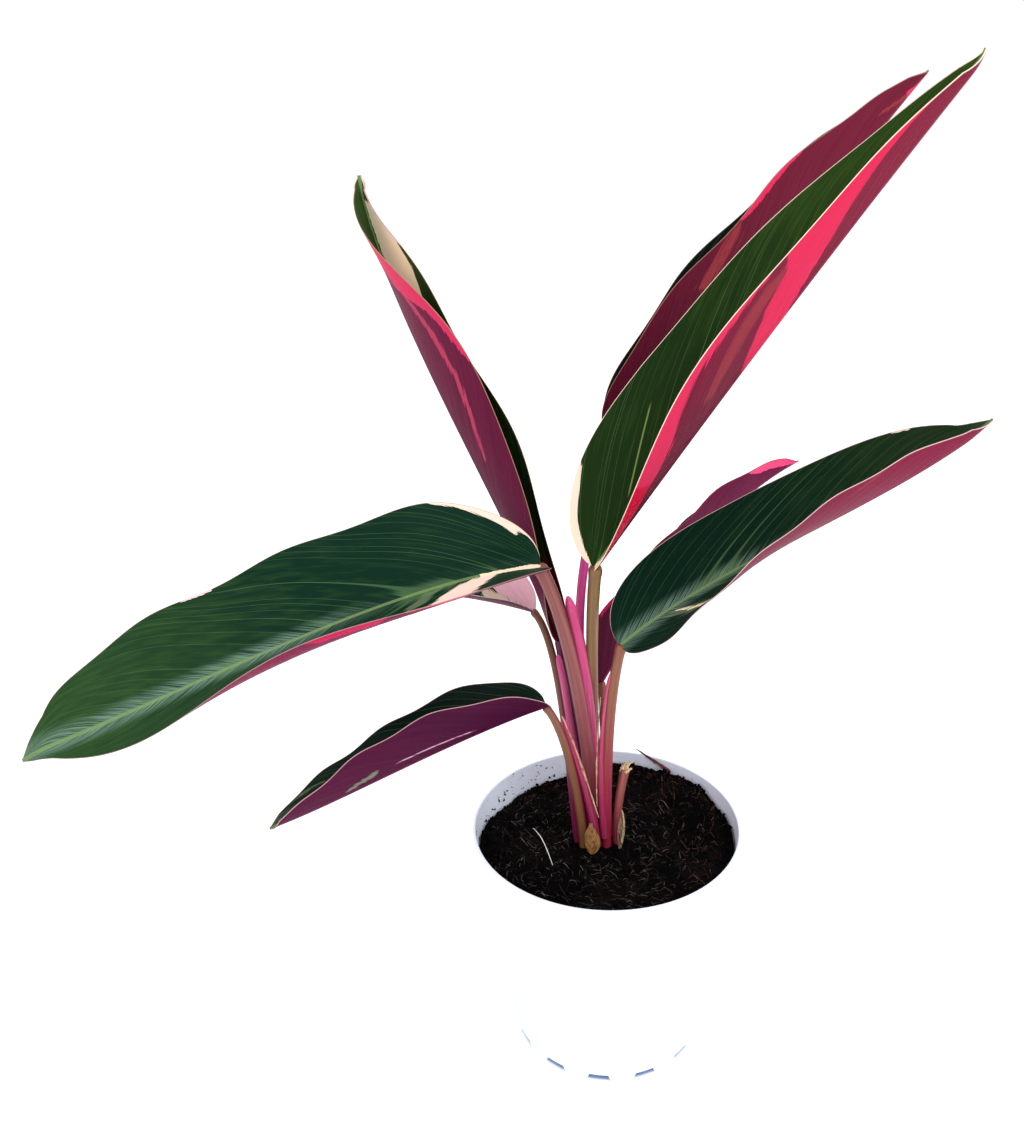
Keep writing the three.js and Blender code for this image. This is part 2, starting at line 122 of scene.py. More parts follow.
def blend(share, colour, other):
    """The first colour where the share is 0 and the other where it is 1."""
    made = put(share.id_data, "Mix", share, data_type="RGBA")
    feed(made.inputs[6], colour)
    feed(made.inputs[7], other)
    return made.outputs[2]


def ramp(value, low, high, to_low=0.0, to_high=1.0):
    """A soft step from one value to another as the input goes from low to high."""
    return put(value.id_data, "MapRange", value, low, high, to_low, to_high,
               interpolation_type="SMOOTHSTEP").outputs[0]


def grain(place, stretch, detail=2.0):
    """Noise from 0 to 1 over a place that is stretched by its own amount along each axis."""
    stretched = put(place.id_data, "VectorMath", place, stretch, operation="MULTIPLY").outputs[0]
    return put(place.id_data, "TexNoise", stretched, None, 1.0, detail).outputs[0]


def object_place(tree):
    """The place of a point in the plant's frame, in metres."""
    return put(tree, "TexCoord").outputs["Object"]


def new_material(name, specular):
    """An empty material and its Principled shader."""
    material = bpy.data.materials.new(name)
    material.use_nodes = True
    shader = material.node_tree.nodes["Principled BSDF"]
    feed(shader.inputs["Specular IOR Level"], specular)
    return material, material.node_tree, shader


FLOOR_RADIUS, FLOOR_DROP = 8, 0.0003  # metres
SHADE_EDGE = 0.0415, 0.0438  # the floor's painted shade under the pot ends between these radii, in metres
FLOOR_GLOW = 0.35

bpy.ops.object.select_all(action="DESELECT")
bpy.ops.mesh.primitive_circle_add(vertices=96, radius=FLOOR_RADIUS, fill_type="NGON",
                                  location=(0, 0, -FLOOR_DROP))
floor = bpy.context.object
floor.name = "floor"
white_floor, tree, shader = new_material("white_floor", 0.2)
floor_shade = blend(grain(object_place(tree), (2, 2, 2)), ink(240, 243, 246), ink(244, 246, 248))
from_middle = put(tree, "VectorMath", object_place(tree), operation="LENGTH").outputs[1]
# Painted shade: under the pot's foot, where it shows through the notches, the floor is blue-grey and
# gives no glow.
out_of_painted_shade = ramp(from_middle, *SHADE_EDGE)
floor_shade = blend(out_of_painted_shade, ink(150, 166, 204), floor_shade)
feed(shader.inputs["Base Color"], floor_shade)
feed(shader.inputs["Roughness"], 0.8)
feed(shader.inputs["Emission Color"], blend(out_of_painted_shade, ink(0, 0, 0), ink(238, 252, 255)))
feed(shader.inputs["Emission Strength"], FLOOR_GLOW)
floor.data.materials.append(white_floor)

# ------------------------------------------------------------------------------ pot
# One thin white plastic moulding: a tapered wall, a wider collar round the top, a floor with
# drain holes, and a foot ring with shallow notches that let water out under it.

POT_HEIGHT, RIM_RADIUS, WALL, EDGE = 109, 60, 1.2, 0.5
COLLAR_HEIGHT, COLLAR_RADIUS = 21, 58.5
SHOULDER_RADIUS, FOOT_RADIUS = 53.9, 43.6
SHOULDER = POT_HEIGHT - COLLAR_HEIGHT
FLOOR_LEVEL, FLOOR_THICKNESS, FOOT_RING, BOSS_RADIUS = 2.5, 1.6, 3, 15
FLOOR_TOP = FLOOR_LEVEL + FLOOR_THICKNESS
NOTCHES, NOTCH_TOP, NOTCH_BOTTOM, NOTCH_HEIGHT, FIRST_NOTCH = 13, 8.6, 11.5, 3.6, -94.5
DRAINS, DRAIN_RADIUS, DRAIN_CIRCLE = 6, 3.5, 28
POT_SIDES = 192


def rounded(corners, radius, steps):
    """An outline whose corners between its two ends are small arcs."""
    outline = [Vector(corners[0])]
    for before, corner, after in zip(*(map(Vector, corners[i:]) for i in range(3))):
        reach = min(radius, 0.45 * (before - corner).length, 0.45 * (after - corner).length)
        start = corner + (before - corner).normalized() * reach
        end = corner + (after - corner).normalized() * reach
        for share in np.linspace(0, 1, steps + 1):
            outline.append(start * (1 - share) ** 2 + corner * 2 * share * (1 - share)
                           + end * share ** 2)
    return outline + [Vector(corners[-1])]


def mesh_object(name, corners, edges, faces):
    """A new piece from its corners, in metres, and its edges or faces."""
    mesh = bpy.data.meshes.new(name)
    mesh.from_pydata(corners, edges, faces)
    return add_object(name, mesh)


def edit(piece):
    """Selects one piece alone, with all its mesh, and opens it in edit mode."""
    bpy.ops.object.select_all(action="DESELECT")
    bpy.context.view_layer.objects.active = piece
    piece.select_set(True)
    bpy.ops.object.mode_set(mode="EDIT")
    bpy.ops.mesh.select_all(action="SELECT")


def close_skin(piece, sharp_angle):
    """Merges doubles, turns the faces outwards and shades all but the sharp edges smooth."""
    edit(piece)
    bpy.ops.mesh.remove_doubles(threshold=2e-6)
    bpy.ops.mesh.normals_make_consistent(inside=False)
    bpy.ops.object.mode_set(mode="OBJECT")
    bpy.ops.object.shade_smooth_by_angle(angle=math.radians(sharp_angle))


def cut_away(piece, cutters):
    """Cuts a list of solids out of a piece and removes them."""
    bpy.ops.object.select_all(action="DESELECT")
    for cutter in cutters:
        cutter.select_set(True)
    bpy.context.view_layer.objects.active = cutters[0]
    bpy.ops.object.join()
    joined = bpy.context.object
    cut = piece.modifiers.new("cut", "BOOLEAN")
    cut.object = joined
    bpy.ops.object.select_all(action="DESELECT")
    bpy.context.view_layer.objects.active = piece
    bpy.ops.object.modifier_apply(modifier="cut")
    bpy.data.objects.remove(joined)


def copies_around(piece, count, first):
    """The piece and its copies, each with its own mesh, evenly spaced about the pot's axis."""
    ring = []
    for i in range(count):
        copy = piece.copy()
        copy.data = piece.data.copy()
        bpy.context.scene.collection.objects.link(copy)
        turn = Matrix.Rotation(math.radians(first + 360 * i / count), 4, "Z")
        copy.data.transform(turn @ piece.matrix_world)
        copy.matrix_world = Matrix()
        ring.append(copy)
    bpy.data.objects.remove(piece)
    return ring


pot_profile = rounded([
    (0, 0, 0), (BOSS_RADIUS, 0, 0), (BOSS_RADIUS, 0, FLOOR_LEVEL),
    (FOOT_RADIUS - FOOT_RING, 0, FLOOR_LEVEL), (FOOT_RADIUS - FOOT_RING, 0, 0),
    (FOOT_RADIUS, 0, 0), (SHOULDER_RADIUS, 0, SHOULDER - EDGE), (COLLAR_RADIUS - EDGE, 0, SHOULDER),
    (COLLAR_RADIUS, 0, SHOULDER + EDGE), (RIM_RADIUS, 0, POT_HEIGHT - EDGE),
    (RIM_RADIUS - EDGE, 0, POT_HEIGHT), (RIM_RADIUS - WALL, 0, POT_HEIGHT - EDGE / 2),
    (COLLAR_RADIUS - WALL, 0, SHOULDER + WALL), (SHOULDER_RADIUS - WALL, 0, SHOULDER - WALL),
    (FOOT_RADIUS - WALL, 0, FLOOR_TOP), (0, 0, FLOOR_TOP),
], radius=0.4, steps=3)
pot = mesh_object("nursery_pot", [point * MM for point in pot_profile],
                  [(i, i + 1) for i in range(len(pot_profile) - 1)], [])
edit(pot)
bpy.ops.mesh.spin(steps=POT_SIDES, angle=2 * math.pi, center=(0, 0, 0), axis=(0, 0, 1))
bpy.ops.object.mode_set(mode="OBJECT")
close_skin(pot, 40)

bpy.ops.mesh.primitive_cube_add(size=1, location=(FOOT_RADIUS * MM, 0, 0),
                                scale=(3 * FOOT_RING * MM, NOTCH_BOTTOM * MM, 2 * NOTCH_HEIGHT * MM))
notch = bpy.context.object
for corner in notch.data.vertices:
    corner.co.y *= NOTCH_TOP / NOTCH_BOTTOM if corner.co.z > 0 else 1.1
cut_away(pot, copies_around(notch, NOTCHES, FIRST_NOTCH))
bpy.ops.mesh.primitive_cylinder_add(vertices=24, radius=DRAIN_RADIUS * MM, depth=4 * FLOOR_TOP * MM,
                                    location=(DRAIN_CIRCLE * MM, 0, 0))
cut_away(pot, copies_around(bpy.context.object, DRAINS, 0))
close_skin(pot, 40)


def dress(shader, colour, roughness, height, depth):
    """Gives a shader its colour, its roughness and a relief of so many millimetres."""
    feed(shader.inputs["Base Color"], colour)
    feed(shader.inputs["Roughness"], roughness)
    bump = put(shader.id_data, "Bump", 1.0, depth * MM)
    feed(bump.inputs["Height"], height)
    feed(shader.inputs["Normal"], bump.outputs[0])


white_plastic, tree, shader = new_material("white_plastic", 0.35)
pot_place = object_place(tree)
clouds = grain(pot_place, (18, 18, 18), 3)
scuffs = ramp(grain(pot_place, (260, 260, 900), 4), 0.62, 0.75)
faint_dust = ramp(grain(pot_place, (90, 90, 40), 5), 0.5, 0.8, 0, 0.4)
plastic = blend(clouds, ink(226, 234, 252), ink(234, 241, 255))
plastic = blend(faint_dust, plastic, ink(218, 225, 242))
dress(shader, plastic, ramp(scuffs, 0, 1, 0.38, 0.5), clouds, 0.15)
pot.data.materials.append(white_plastic)
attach(pot, "root")
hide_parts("pot")

# ------------------------------------------------------------------------------ peat
# The pot is filled with damp dark peat to about 12 mm under the rim. Its top is loose crumbs and
# brown fibres, sunk a little at the back left, with some dirt left on the wall above it.

SOIL_LEVEL, LUMPS, CRUMBS = 97, 1.3, 0.6
HOLLOW_X, HOLLOW_Y, HOLLOW_DEPTH, HOLLOW_REACH = -34, 30, 2.5, 22
BANK_TURN, BANK_SPREAD, BANK_HEIGHT, BANK_START = 0.9, 0.84, 7.5, 34
CROWN_X, CROWN_Y = -4, 4
MOUND_HEIGHT, MOUND_REACH = 0.9, 15
SOIL_GAP = 0.5
SOIL_RINGS, SOIL_SIDES = 84, 260
CRUMB_COUNT, FIBRE_COUNT, WALL_SPECKS = 2900, 1300, 130
BANKED_SHARE = 0.16  # of the crumbs lie against the pot's wall
SPECK_TURN, SPECK_SPREAD, SPECK_BAND = 135, 75, 10.5  # the dirty stretch of the wall


def flat_grid(name, along, around):
    """A flat grid with, for each vertex, its share of the way along and around."""
    bpy.ops.object.select_all(action="DESELECT")
    bpy.ops.mesh.primitive_grid_add(x_subdivisions=along, y_subdivisions=around, size=1)
    piece = bpy.context.object
    piece.name = name
    piece.data.name = name
    places = np.empty(3 * len(piece.data.vertices), np.float32)
    piece.data.vertices.foreach_get("co", places)
    u, v = places.reshape(-1, 3)[:, :2].T.astype(float) + 0.5
    return piece, np.rint(u * along) / along, np.rint(v * around) / around


def shape(piece, places):
    """Moves a piece's vertices to their places, in millimetres."""
    piece.data.vertices.foreach_set("co", (places * MM).astype(np.float32).ravel())
    piece.data.update()


def mark(piece, name, values):
    """Keeps a number, or three, for each vertex of a piece as a named attribute."""
    kind, key = ("FLOAT", "value") if values.ndim == 1 else ("FLOAT_VECTOR", "vector")
    held = piece.data.attributes.new(name, kind, "POINT")
    held.data.foreach_set(key, values.astype(np.float32).ravel())


def soil_height(x, y):
    """How high the peat stands: lumps, a hollow, a bank at the back and a mound at the clump."""
    lumps = np.sin(x / 9 + 1.2) * np.cos(y / 8 - 0.4)
    crumbs = np.sin(x / 3.7 + y / 4.9) * np.cos(y / 3.1 - x / 6.3)
    away = np.hypot(x - HOLLOW_X, y - HOLLOW_Y) / HOLLOW_REACH
    mound = np.hypot(x - CROWN_X, y - CROWN_Y) / MOUND_REACH
    aside = (np.arctan2(y, x) - BANK_TURN) / BANK_SPREAD
    climb = np.maximum(0, (np.hypot(x, y) - BANK_START) / (COLLAR_RADIUS - BANK_START))
    bank = BANK_HEIGHT * np.exp(-aside ** 2) * climb ** 2 * (3 - 2 * climb)
    return (SOIL_LEVEL + LUMPS * lumps + CRUMBS * crumbs - HOLLOW_DEPTH * np.exp(-away ** 2)
            + MOUND_HEIGHT * np.exp(-mound ** 2) + bank)


def crumbly(x, y):
    """The peat's finer lumps and pits at a place."""
    coarse = noise.fractal(Vector((x, y, 3)) / 5.5, 1.0, 2.0, 3)
    fine = noise.fractal(Vector((x, y, 9)) / 1.7, 0.9, 2.0, 3)
    return 0.9 * coarse + 0.45 * fine


def top_height(x, y):
    """The height of the peat's finished top at a place."""
    return float(soil_height(x, y)) + crumbly(x, y)


soil_edge = COLLAR_RADIUS - WALL - SOIL_GAP + 0.4
below_top = [(COLLAR_RADIUS - WALL - SOIL_GAP, SHOULDER + WALL + 0.5),
             (SHOULDER_RADIUS - WALL - SOIL_GAP, SHOULDER - WALL),
             (FOOT_RADIUS - WALL - SOIL_GAP, FLOOR_TOP + SOIL_GAP), (0, FLOOR_TOP + SOIL_GAP)]
soil, u, v = flat_grid("peat", SOIL_RINGS + len(below_top), SOIL_SIDES)
step = np.rint(u * (SOIL_RINGS + len(below_top))).astype(int)
radii = np.array([soil_edge * i / SOIL_RINGS for i in range(SOIL_RINGS + 1)]
                 + [radius for radius, _ in below_top])[step]
x = radii * np.cos(2 * np.pi * v)
y = radii * np.sin(2 * np.pi * v)
z = soil_height(x, y) + np.array([crumbly(*place) for place in zip(x, y)])
for i, (_, level_below) in enumerate(below_top):
    z[step == SOIL_RINGS + 1 + i] = level_below
z[radii == 0] = np.where(z[radii == 0] > SOIL_LEVEL / 2, soil_height(0, 0), z[radii == 0])
shape(soil, np.stack([x, y, z], axis=1))
close_skin(soil, 60)


def peat_material(name, dark, brown, dryness, depth):
    """Crumbly peat, near black where it is damp and brown where it has dried."""
    material, tree, shader = new_material(name, 0.04)
    place = object_place(tree)
    patches = ramp(grain(place, (45, 45, 45), 3), 0.4, 0.8)
    specks = grain(place, (900, 900, 900), 4)
    bits = ramp(grain(place, (1500, 700, 1500), 3), 0.62, 0.72, 0, dryness)
    colour = blend(patches, dark, [(a + b) / 2 for a, b in zip(dark, brown)])
    colour = blend(ramp(specks, 0.3, 0.7), ink(4, 3, 3), colour)
    colour = blend(bits, colour, brown)
    dress(shader, colour, 0.92, specks, depth)
    return material


soil.data.materials.append(peat_material("damp_peat", ink(3, 4, 5), ink(36, 28, 25), 0.3, 1.2))
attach(soil, "root")
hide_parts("soil")


def joined_copies(name, template, matrices):
    """One mesh that holds a copy of the template's mesh for each matrix."""
    corners = np.array([vertex.co for vertex in template.data.vertices])
    faces = np.array([list(face.vertices) for face in template.data.polygons])
    spots = []
    for matrix in matrices:
        turn = np.array(matrix)
        spots.append(corners @ turn[:3, :3].T + turn[:3, 3])
    shifts = np.arange(len(matrices))[:, None, None] * len(corners)
    bpy.data.objects.remove(template)
    all_faces = (faces + shifts).reshape(-1, faces.shape[1]).tolist()
    return mesh_object(name, np.concatenate(spots), [], all_faces)


def lump_template():
    """A small uneven lump with 20 faces."""
    bpy.ops.mesh.primitive_ico_sphere_add(subdivisions=1, radius=1)
    lump = bpy.context.object
    for vertex in lump.data.vertices:
        vertex.co *= 0.75 + 0.5 * noise.random()
    return lump


def tumbled(place, size, slim=1.0):
    """A matrix that turns a lump any way, makes it some size and sets it down in millimetres."""
    turn = Matrix.Rotation(noise.random() * 6.3, 4, noise.random_unit_vector())
    flat = Matrix.Diagonal((1, (0.6 + 0.5 * noise.random()) * slim,
                            (0.45 + 0.4 * noise.random()) * slim, 1))
    return Matrix.Translation(Vector(place) * MM) @ turn @ flat @ Matrix.Scale(size * MM, 4)


noise.seed_set(11)
crumb_spots = []
for _ in range(CRUMB_COUNT):
    turn = noise.random() * 2 * math.pi
    banked = noise.random() < BANKED_SHARE
    spread = noise.random()
    reach = soil_edge - 0.6 - 1.6 * spread if banked else (soil_edge - 1.2) * math.sqrt(spread)
    spot_x, spot_y = reach * math.cos(turn), reach * math.sin(turn)
    size = 0.35 + 1.1 * noise.random() ** 3
    lift = 0.2 * size + (1.6 * noise.random() ** 2 if banked else 0)
    crumb_spots.append(tumbled((spot_x, spot_y, top_height(spot_x, spot_y) + lift), size))
crumbs = joined_copies("peat_crumbs", lump_template(), crumb_spots)
crumbs.data.materials.append(peat_material("crumb_peat", ink(3, 4, 5), ink(52, 38, 34), 0.35, 0.6))

speck_spots = []
for _ in range(WALL_SPECKS):
    turn = math.radians(SPECK_TURN + SPECK_SPREAD * (noise.random() + noise.random() - 1))
    height = SOIL_LEVEL + 1 + SPECK_BAND * noise.random() ** 2.5
    reach = COLLAR_RADIUS - WALL + (RIM_RADIUS - COLLAR_RADIUS) * (height - SHOULDER) / COLLAR_HEIGHT
    size = 0.2 + 1.3 * noise.random() ** 3
    speck_spots.append(tumbled(((reach - 0.1) * math.cos(turn), (reach - 0.1) * math.sin(turn), height),
                               size, 0.5))
specks = joined_copies("wall_specks", lump_template(), speck_spots)
specks.data.materials.append(bpy.data.materials["crumb_peat"])
for piece in (crumbs, specks):
    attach(piece, "root")


def strand(start, heading, length, bend, radius, lift):
    """The corners of a thin three-sided fibre that lies on the peat and winds a little."""
    steps = 7
    spot = Vector(start)
    rings = []
    for i in range(steps + 1):
        share = i / steps
        height = top_height(spot.x, spot.y) + radius + lift * math.sin(math.pi * share)
        slim = radius * (0.25 + 0.75 * math.sin(math.pi * (0.08 + 0.84 * share)))
        sideways = Vector((-math.sin(heading), math.cos(heading), 0))
        middle = Vector((spot.x, spot.y, height))
        for turn in (0.5, 2.6, 4.7):
            rings.append(middle + slim * (sideways * math.cos(turn) + Vector((0, 0, math.sin(turn)))))
        spot += Vector((math.cos(heading), math.sin(heading))) * (length / steps)
        heading += bend * (0.6 + 0.8 * noise.random()) / steps
    return rings


FRINGE_SHARE, FRINGE_TURN, FRINGE_SPREAD = 0.1, 1.45, 2.4  # rusty fibres along the back wall
FIBRE_LENGTH, EXTRA_LENGTH, FIBRE_RADIUS, EXTRA_RADIUS = 2, 6, 0.05, 0.09
CLUMP_RADIUS = 12  # no fibres lie there

noise.seed_set(23)
fibre_corners = []
fibre_faces = []
fibre_shades = []
for _ in range(FIBRE_COUNT):
    turn = noise.random() * 2 * math.pi
    reach = (soil_edge - 5) * math.sqrt(noise.random())
    fringe = noise.random() < FRINGE_SHARE
    if fringe:
        turn = FRINGE_TURN + FRINGE_SPREAD * (noise.random() - 0.5)
        reach = soil_edge - 1.5 - 4 * noise.random()
    start = (reach * math.cos(turn), reach * math.sin(turn))
    if math.hypot(start[0] - CROWN_X, start[1] - CROWN_Y) < CLUMP_RADIUS:
        continue
    heading = turn + math.pi / 2 + 2.4 * (noise.random() - 0.5)
    length = FIBRE_LENGTH + EXTRA_LENGTH * noise.random() ** 2
    base = len(fibre_corners)
    bend = 2.4 * (noise.random() - 0.5)
    radius = FIBRE_RADIUS + EXTRA_RADIUS * noise.random() ** 2
    lift = (2.2 if fringe else 0.7) * noise.random()
    fibre_corners += strand(start, heading, length, bend, radius, lift)
    rows = (len(fibre_corners) - base) // 3
    fibre_faces += [(base, base + 1, base + 2), tuple(base + 3 * rows - i for i in (1, 2, 3))]
    for row in range(rows - 1):
        for k in range(3):
            a, b = base + 3 * row + k, base + 3 * row + (k + 1) % 3
            fibre_faces.append((a, a + 3, b + 3, b))
    fibre_shades += [noise.random() ** 3] * (3 * rows)
fibres = mesh_object("peat_fibres", [corner * MM for corner in fibre_corners], [], fibre_faces)
mark(fibres, "shade", np.array(fibre_shades))
edit(fibres)
bpy.ops.mesh.normals_make_consistent(inside=False)
bpy.ops.object.mode_set(mode="OBJECT")


def sums(operation, one, other=None):
    """A sum, product or other result of one or two values."""
    return put(one.id_data, "Math", one, other, operation=operation).outputs[0]


def attribute(tree, name, output="Fac"):
    """The numbers that a mesh holds under a name."""
    return put(tree, "Attribute", attribute_name=name).outputs[output]


fibre_brown, tree, shader = new_material("fibre_brown", 0.2)
fibre_speckle = grain(object_place(tree), (700, 700, 700), 3)
to_right, to_back = put(tree, "SeparateXYZ", object_place(tree)).outputs[:2]
rusty = sums("ADD", ramp(to_right, 0.0, 0.06), ramp(to_back, 0.02, 0.055))
dry_fibre = blend(rusty, ink(132, 126, 118), ink(146, 82, 60))
fibre_tone = blend(attribute(tree, "shade"), ink(30, 24, 22), dry_fibre)
fibre_tone = blend(ramp(fibre_speckle, 0.4, 0.7, 0, 0.5), fibre_tone, ink(28, 18, 16))
dress(shader, fibre_tone, 0.8, fibre_speckle, 0.1)
fibres.data.materials.append(fibre_brown)
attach(fibres, "root")

# ------------------------------------------------------------------------------ root and twig
# A pale curved root lies bare on the peat at the front left, and a dry dark twig leans on the
# rim at the back right.

ROOT_PATH = [(-33.5, 7, 99.4), (-28.5, -1, 101), (-26.5, -9, 100.5), (-23.2, -18.5, 98.6)]
TWIG_PATH = [(31.5, 47.5, 104.6), (27, 50.5, 106.5), (21, 55, 108.6), (15.2, 58.8, 110.6)]


def bezier(points, t):
    """Places on a cubic curve at an array of parameters."""
    t = np.asarray(t, float)[:, None]
    a, b, c, d = np.array(points, float)
    return (1 - t) ** 3 * a + 3 * t * (1 - t) ** 2 * b + 3 * t ** 2 * (1 - t) * c + t ** 3 * d


def curve_length(points):
    """How long a cubic curve is."""
    return np.linalg.norm(np.diff(bezier(points, np.linspace(0, 1, 60)), axis=0), axis=1).sum()


def rod(name, points, radius_at, along, around, section=None):
    """A closed rod on a cubic curve. Radius_at(t) is its radius, and section(angle, t) a factor
    that makes it other than round. Its lie attribute is the place on the skin, in millimetres."""
    piece, u, v = flat_grid(name, along, around)
    ring = np.rint(u * along).astype(int)
    stations = np.clip((np.arange(along + 1) - 1) / (along - 2), 0, 1)
    centres = bezier(points, stations)
    after, before = np.minimum(stations + 0.001, 1), np.maximum(stations - 0.001, 0)
    ahead = bezier(points, after) - bezier(points, before)
    ahead /= np.linalg.norm(ahead, axis=1)[:, None]
    across = np.empty_like(centres)
    side = np.array([1.0, 0, 0])
    for i, forward in enumerate(ahead):
        side = side - side.dot(forward) * forward
        side /= np.linalg.norm(side)
        across[i] = side
    beside = np.cross(ahead, across)
    angle = 2 * np.pi * v
    t = stations[ring]
    reach = radius_at(t) * ((ring > 0) & (ring < along))
    if section:
        reach = reach * section(angle, t)
    sideways = across[ring] * np.cos(angle)[:, None] + beside[ring] * np.sin(angle)[:, None]
    shape(piece, centres[ring] + sideways * reach[:, None])
    walked = np.concatenate([[0], np.cumsum(np.linalg.norm(np.diff(centres, axis=0), axis=1))])
    skin = np.stack([np.cos(angle), np.sin(angle)], axis=1) * radius_at(t)[:, None]
    mark(piece, "lie", np.column_stack([skin, walked[ring]]))
    mark(piece, "along", t)
    close_skin(piece, 60)
    return piece


pale_root = rod("pale_root", ROOT_PATH, lambda t: 0.12 + 0.11 * np.sin(np.pi * t), 30, 8)
root_white, tree, shader = new_material("root_white", 0.3)
mottle = grain(attribute(tree, "lie", "Vector"), (0.8, 0.8, 0.5), 3)
dress(shader, blend(mottle, ink(214, 214, 214), ink(246, 246, 246)), 0.6, mottle, 0.1)
pale_root.data.materials.append(root_white)

twig = rod("dry_twig", TWIG_PATH, lambda t: 0.95 - 0.75 * t ** 1.5, 26, 7,
           lambda angle, t: 1 + 0.18 * np.sin(3 * angle + 9 * t) + 0.12 * np.sin(31 * t))
bark, tree, shader = new_material("twig_bark", 0.25)
mottle = grain(attribute(tree, "lie", "Vector"), (3, 3, 0.4), 4)
dress(shader, blend(mottle, ink(40, 20, 22), ink(118, 62, 50)), 0.75, mottle, 0.3)
twig.data.materials.append(bark)
for piece in (pale_root, twig):
    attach(piece, "root")

# ------------------------------------------------------------------------------ rhizome
# The short fleshy stem that all the stalks and roots grow from. It lies in the peat under the
# clump, out of sight, so it keeps its plain solid and only gets the skin of a fresh root.

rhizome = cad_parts["rhizome"]
rhizome_skin, tree, shader = new_material("rhizome_skin", 0.3)
rings = grain(object_place(tree), (60, 60, 420), 4)
dress(shader, blend(rings, ink(150, 104, 70), ink(206, 170, 128)), 0.7, rings, 0.5)
rhizome.data.materials.clear()
rhizome.data.materials.append(rhizome_skin)

# ------------------------------------------------------------------------------ leaf blades
# Eight long thin blades, half folded along a fleshy midrib, dark green above and maroon below.
# Patches without green are cream or pink above and hot pink below. They end in ragged fingers
# along the side veins, which leave the midrib at a narrow angle.
#
# A midrib is a cubic curve from the stalk to the tip, and its last part bends by the hook. Left
# and right are the halves seen from the base with the upper face up. Roll turns the blade about
# its midrib, fold lifts each half beside the midrib and curl is how much further it turns by its
# margin, each at the base, middle and tip. Widest is where along it the blade is widest. Beyond
# that a high fullness keeps it broad for longer, and a high point draws its tip out. Waves are
# the height and number of the ripples of each half's margin, and where in a ripple it begins.
#
# Greens are the dark and light tones of the upper face, maroons those of the lower one, and edge
# is the margin's. Silver is how silvery the upper face is beside the midrib, by the base and by
# the tip, and its base is red up to red_base. A patch is its kind, its blush (0 is cream over
# red, 1 is pink over light pink), how ragged its edge is, and its outline: percent of the length,
# and percent of the half width, which is negative on the left half. A pale patch has no green. A
# muted one is faded green above and has the colour faint below. A flush only shows below, in
# pink. A stroke is a thin pale line between two such places.

PLAIN_LEAF = dict(hook=(0, 0, 0), roll=(0, 0, 0), silver=(0, 0), red_base=0, faint=(146, 50, 60),
                  stroke=(0, 200, 100, 200))  # where a leaf says nothing else

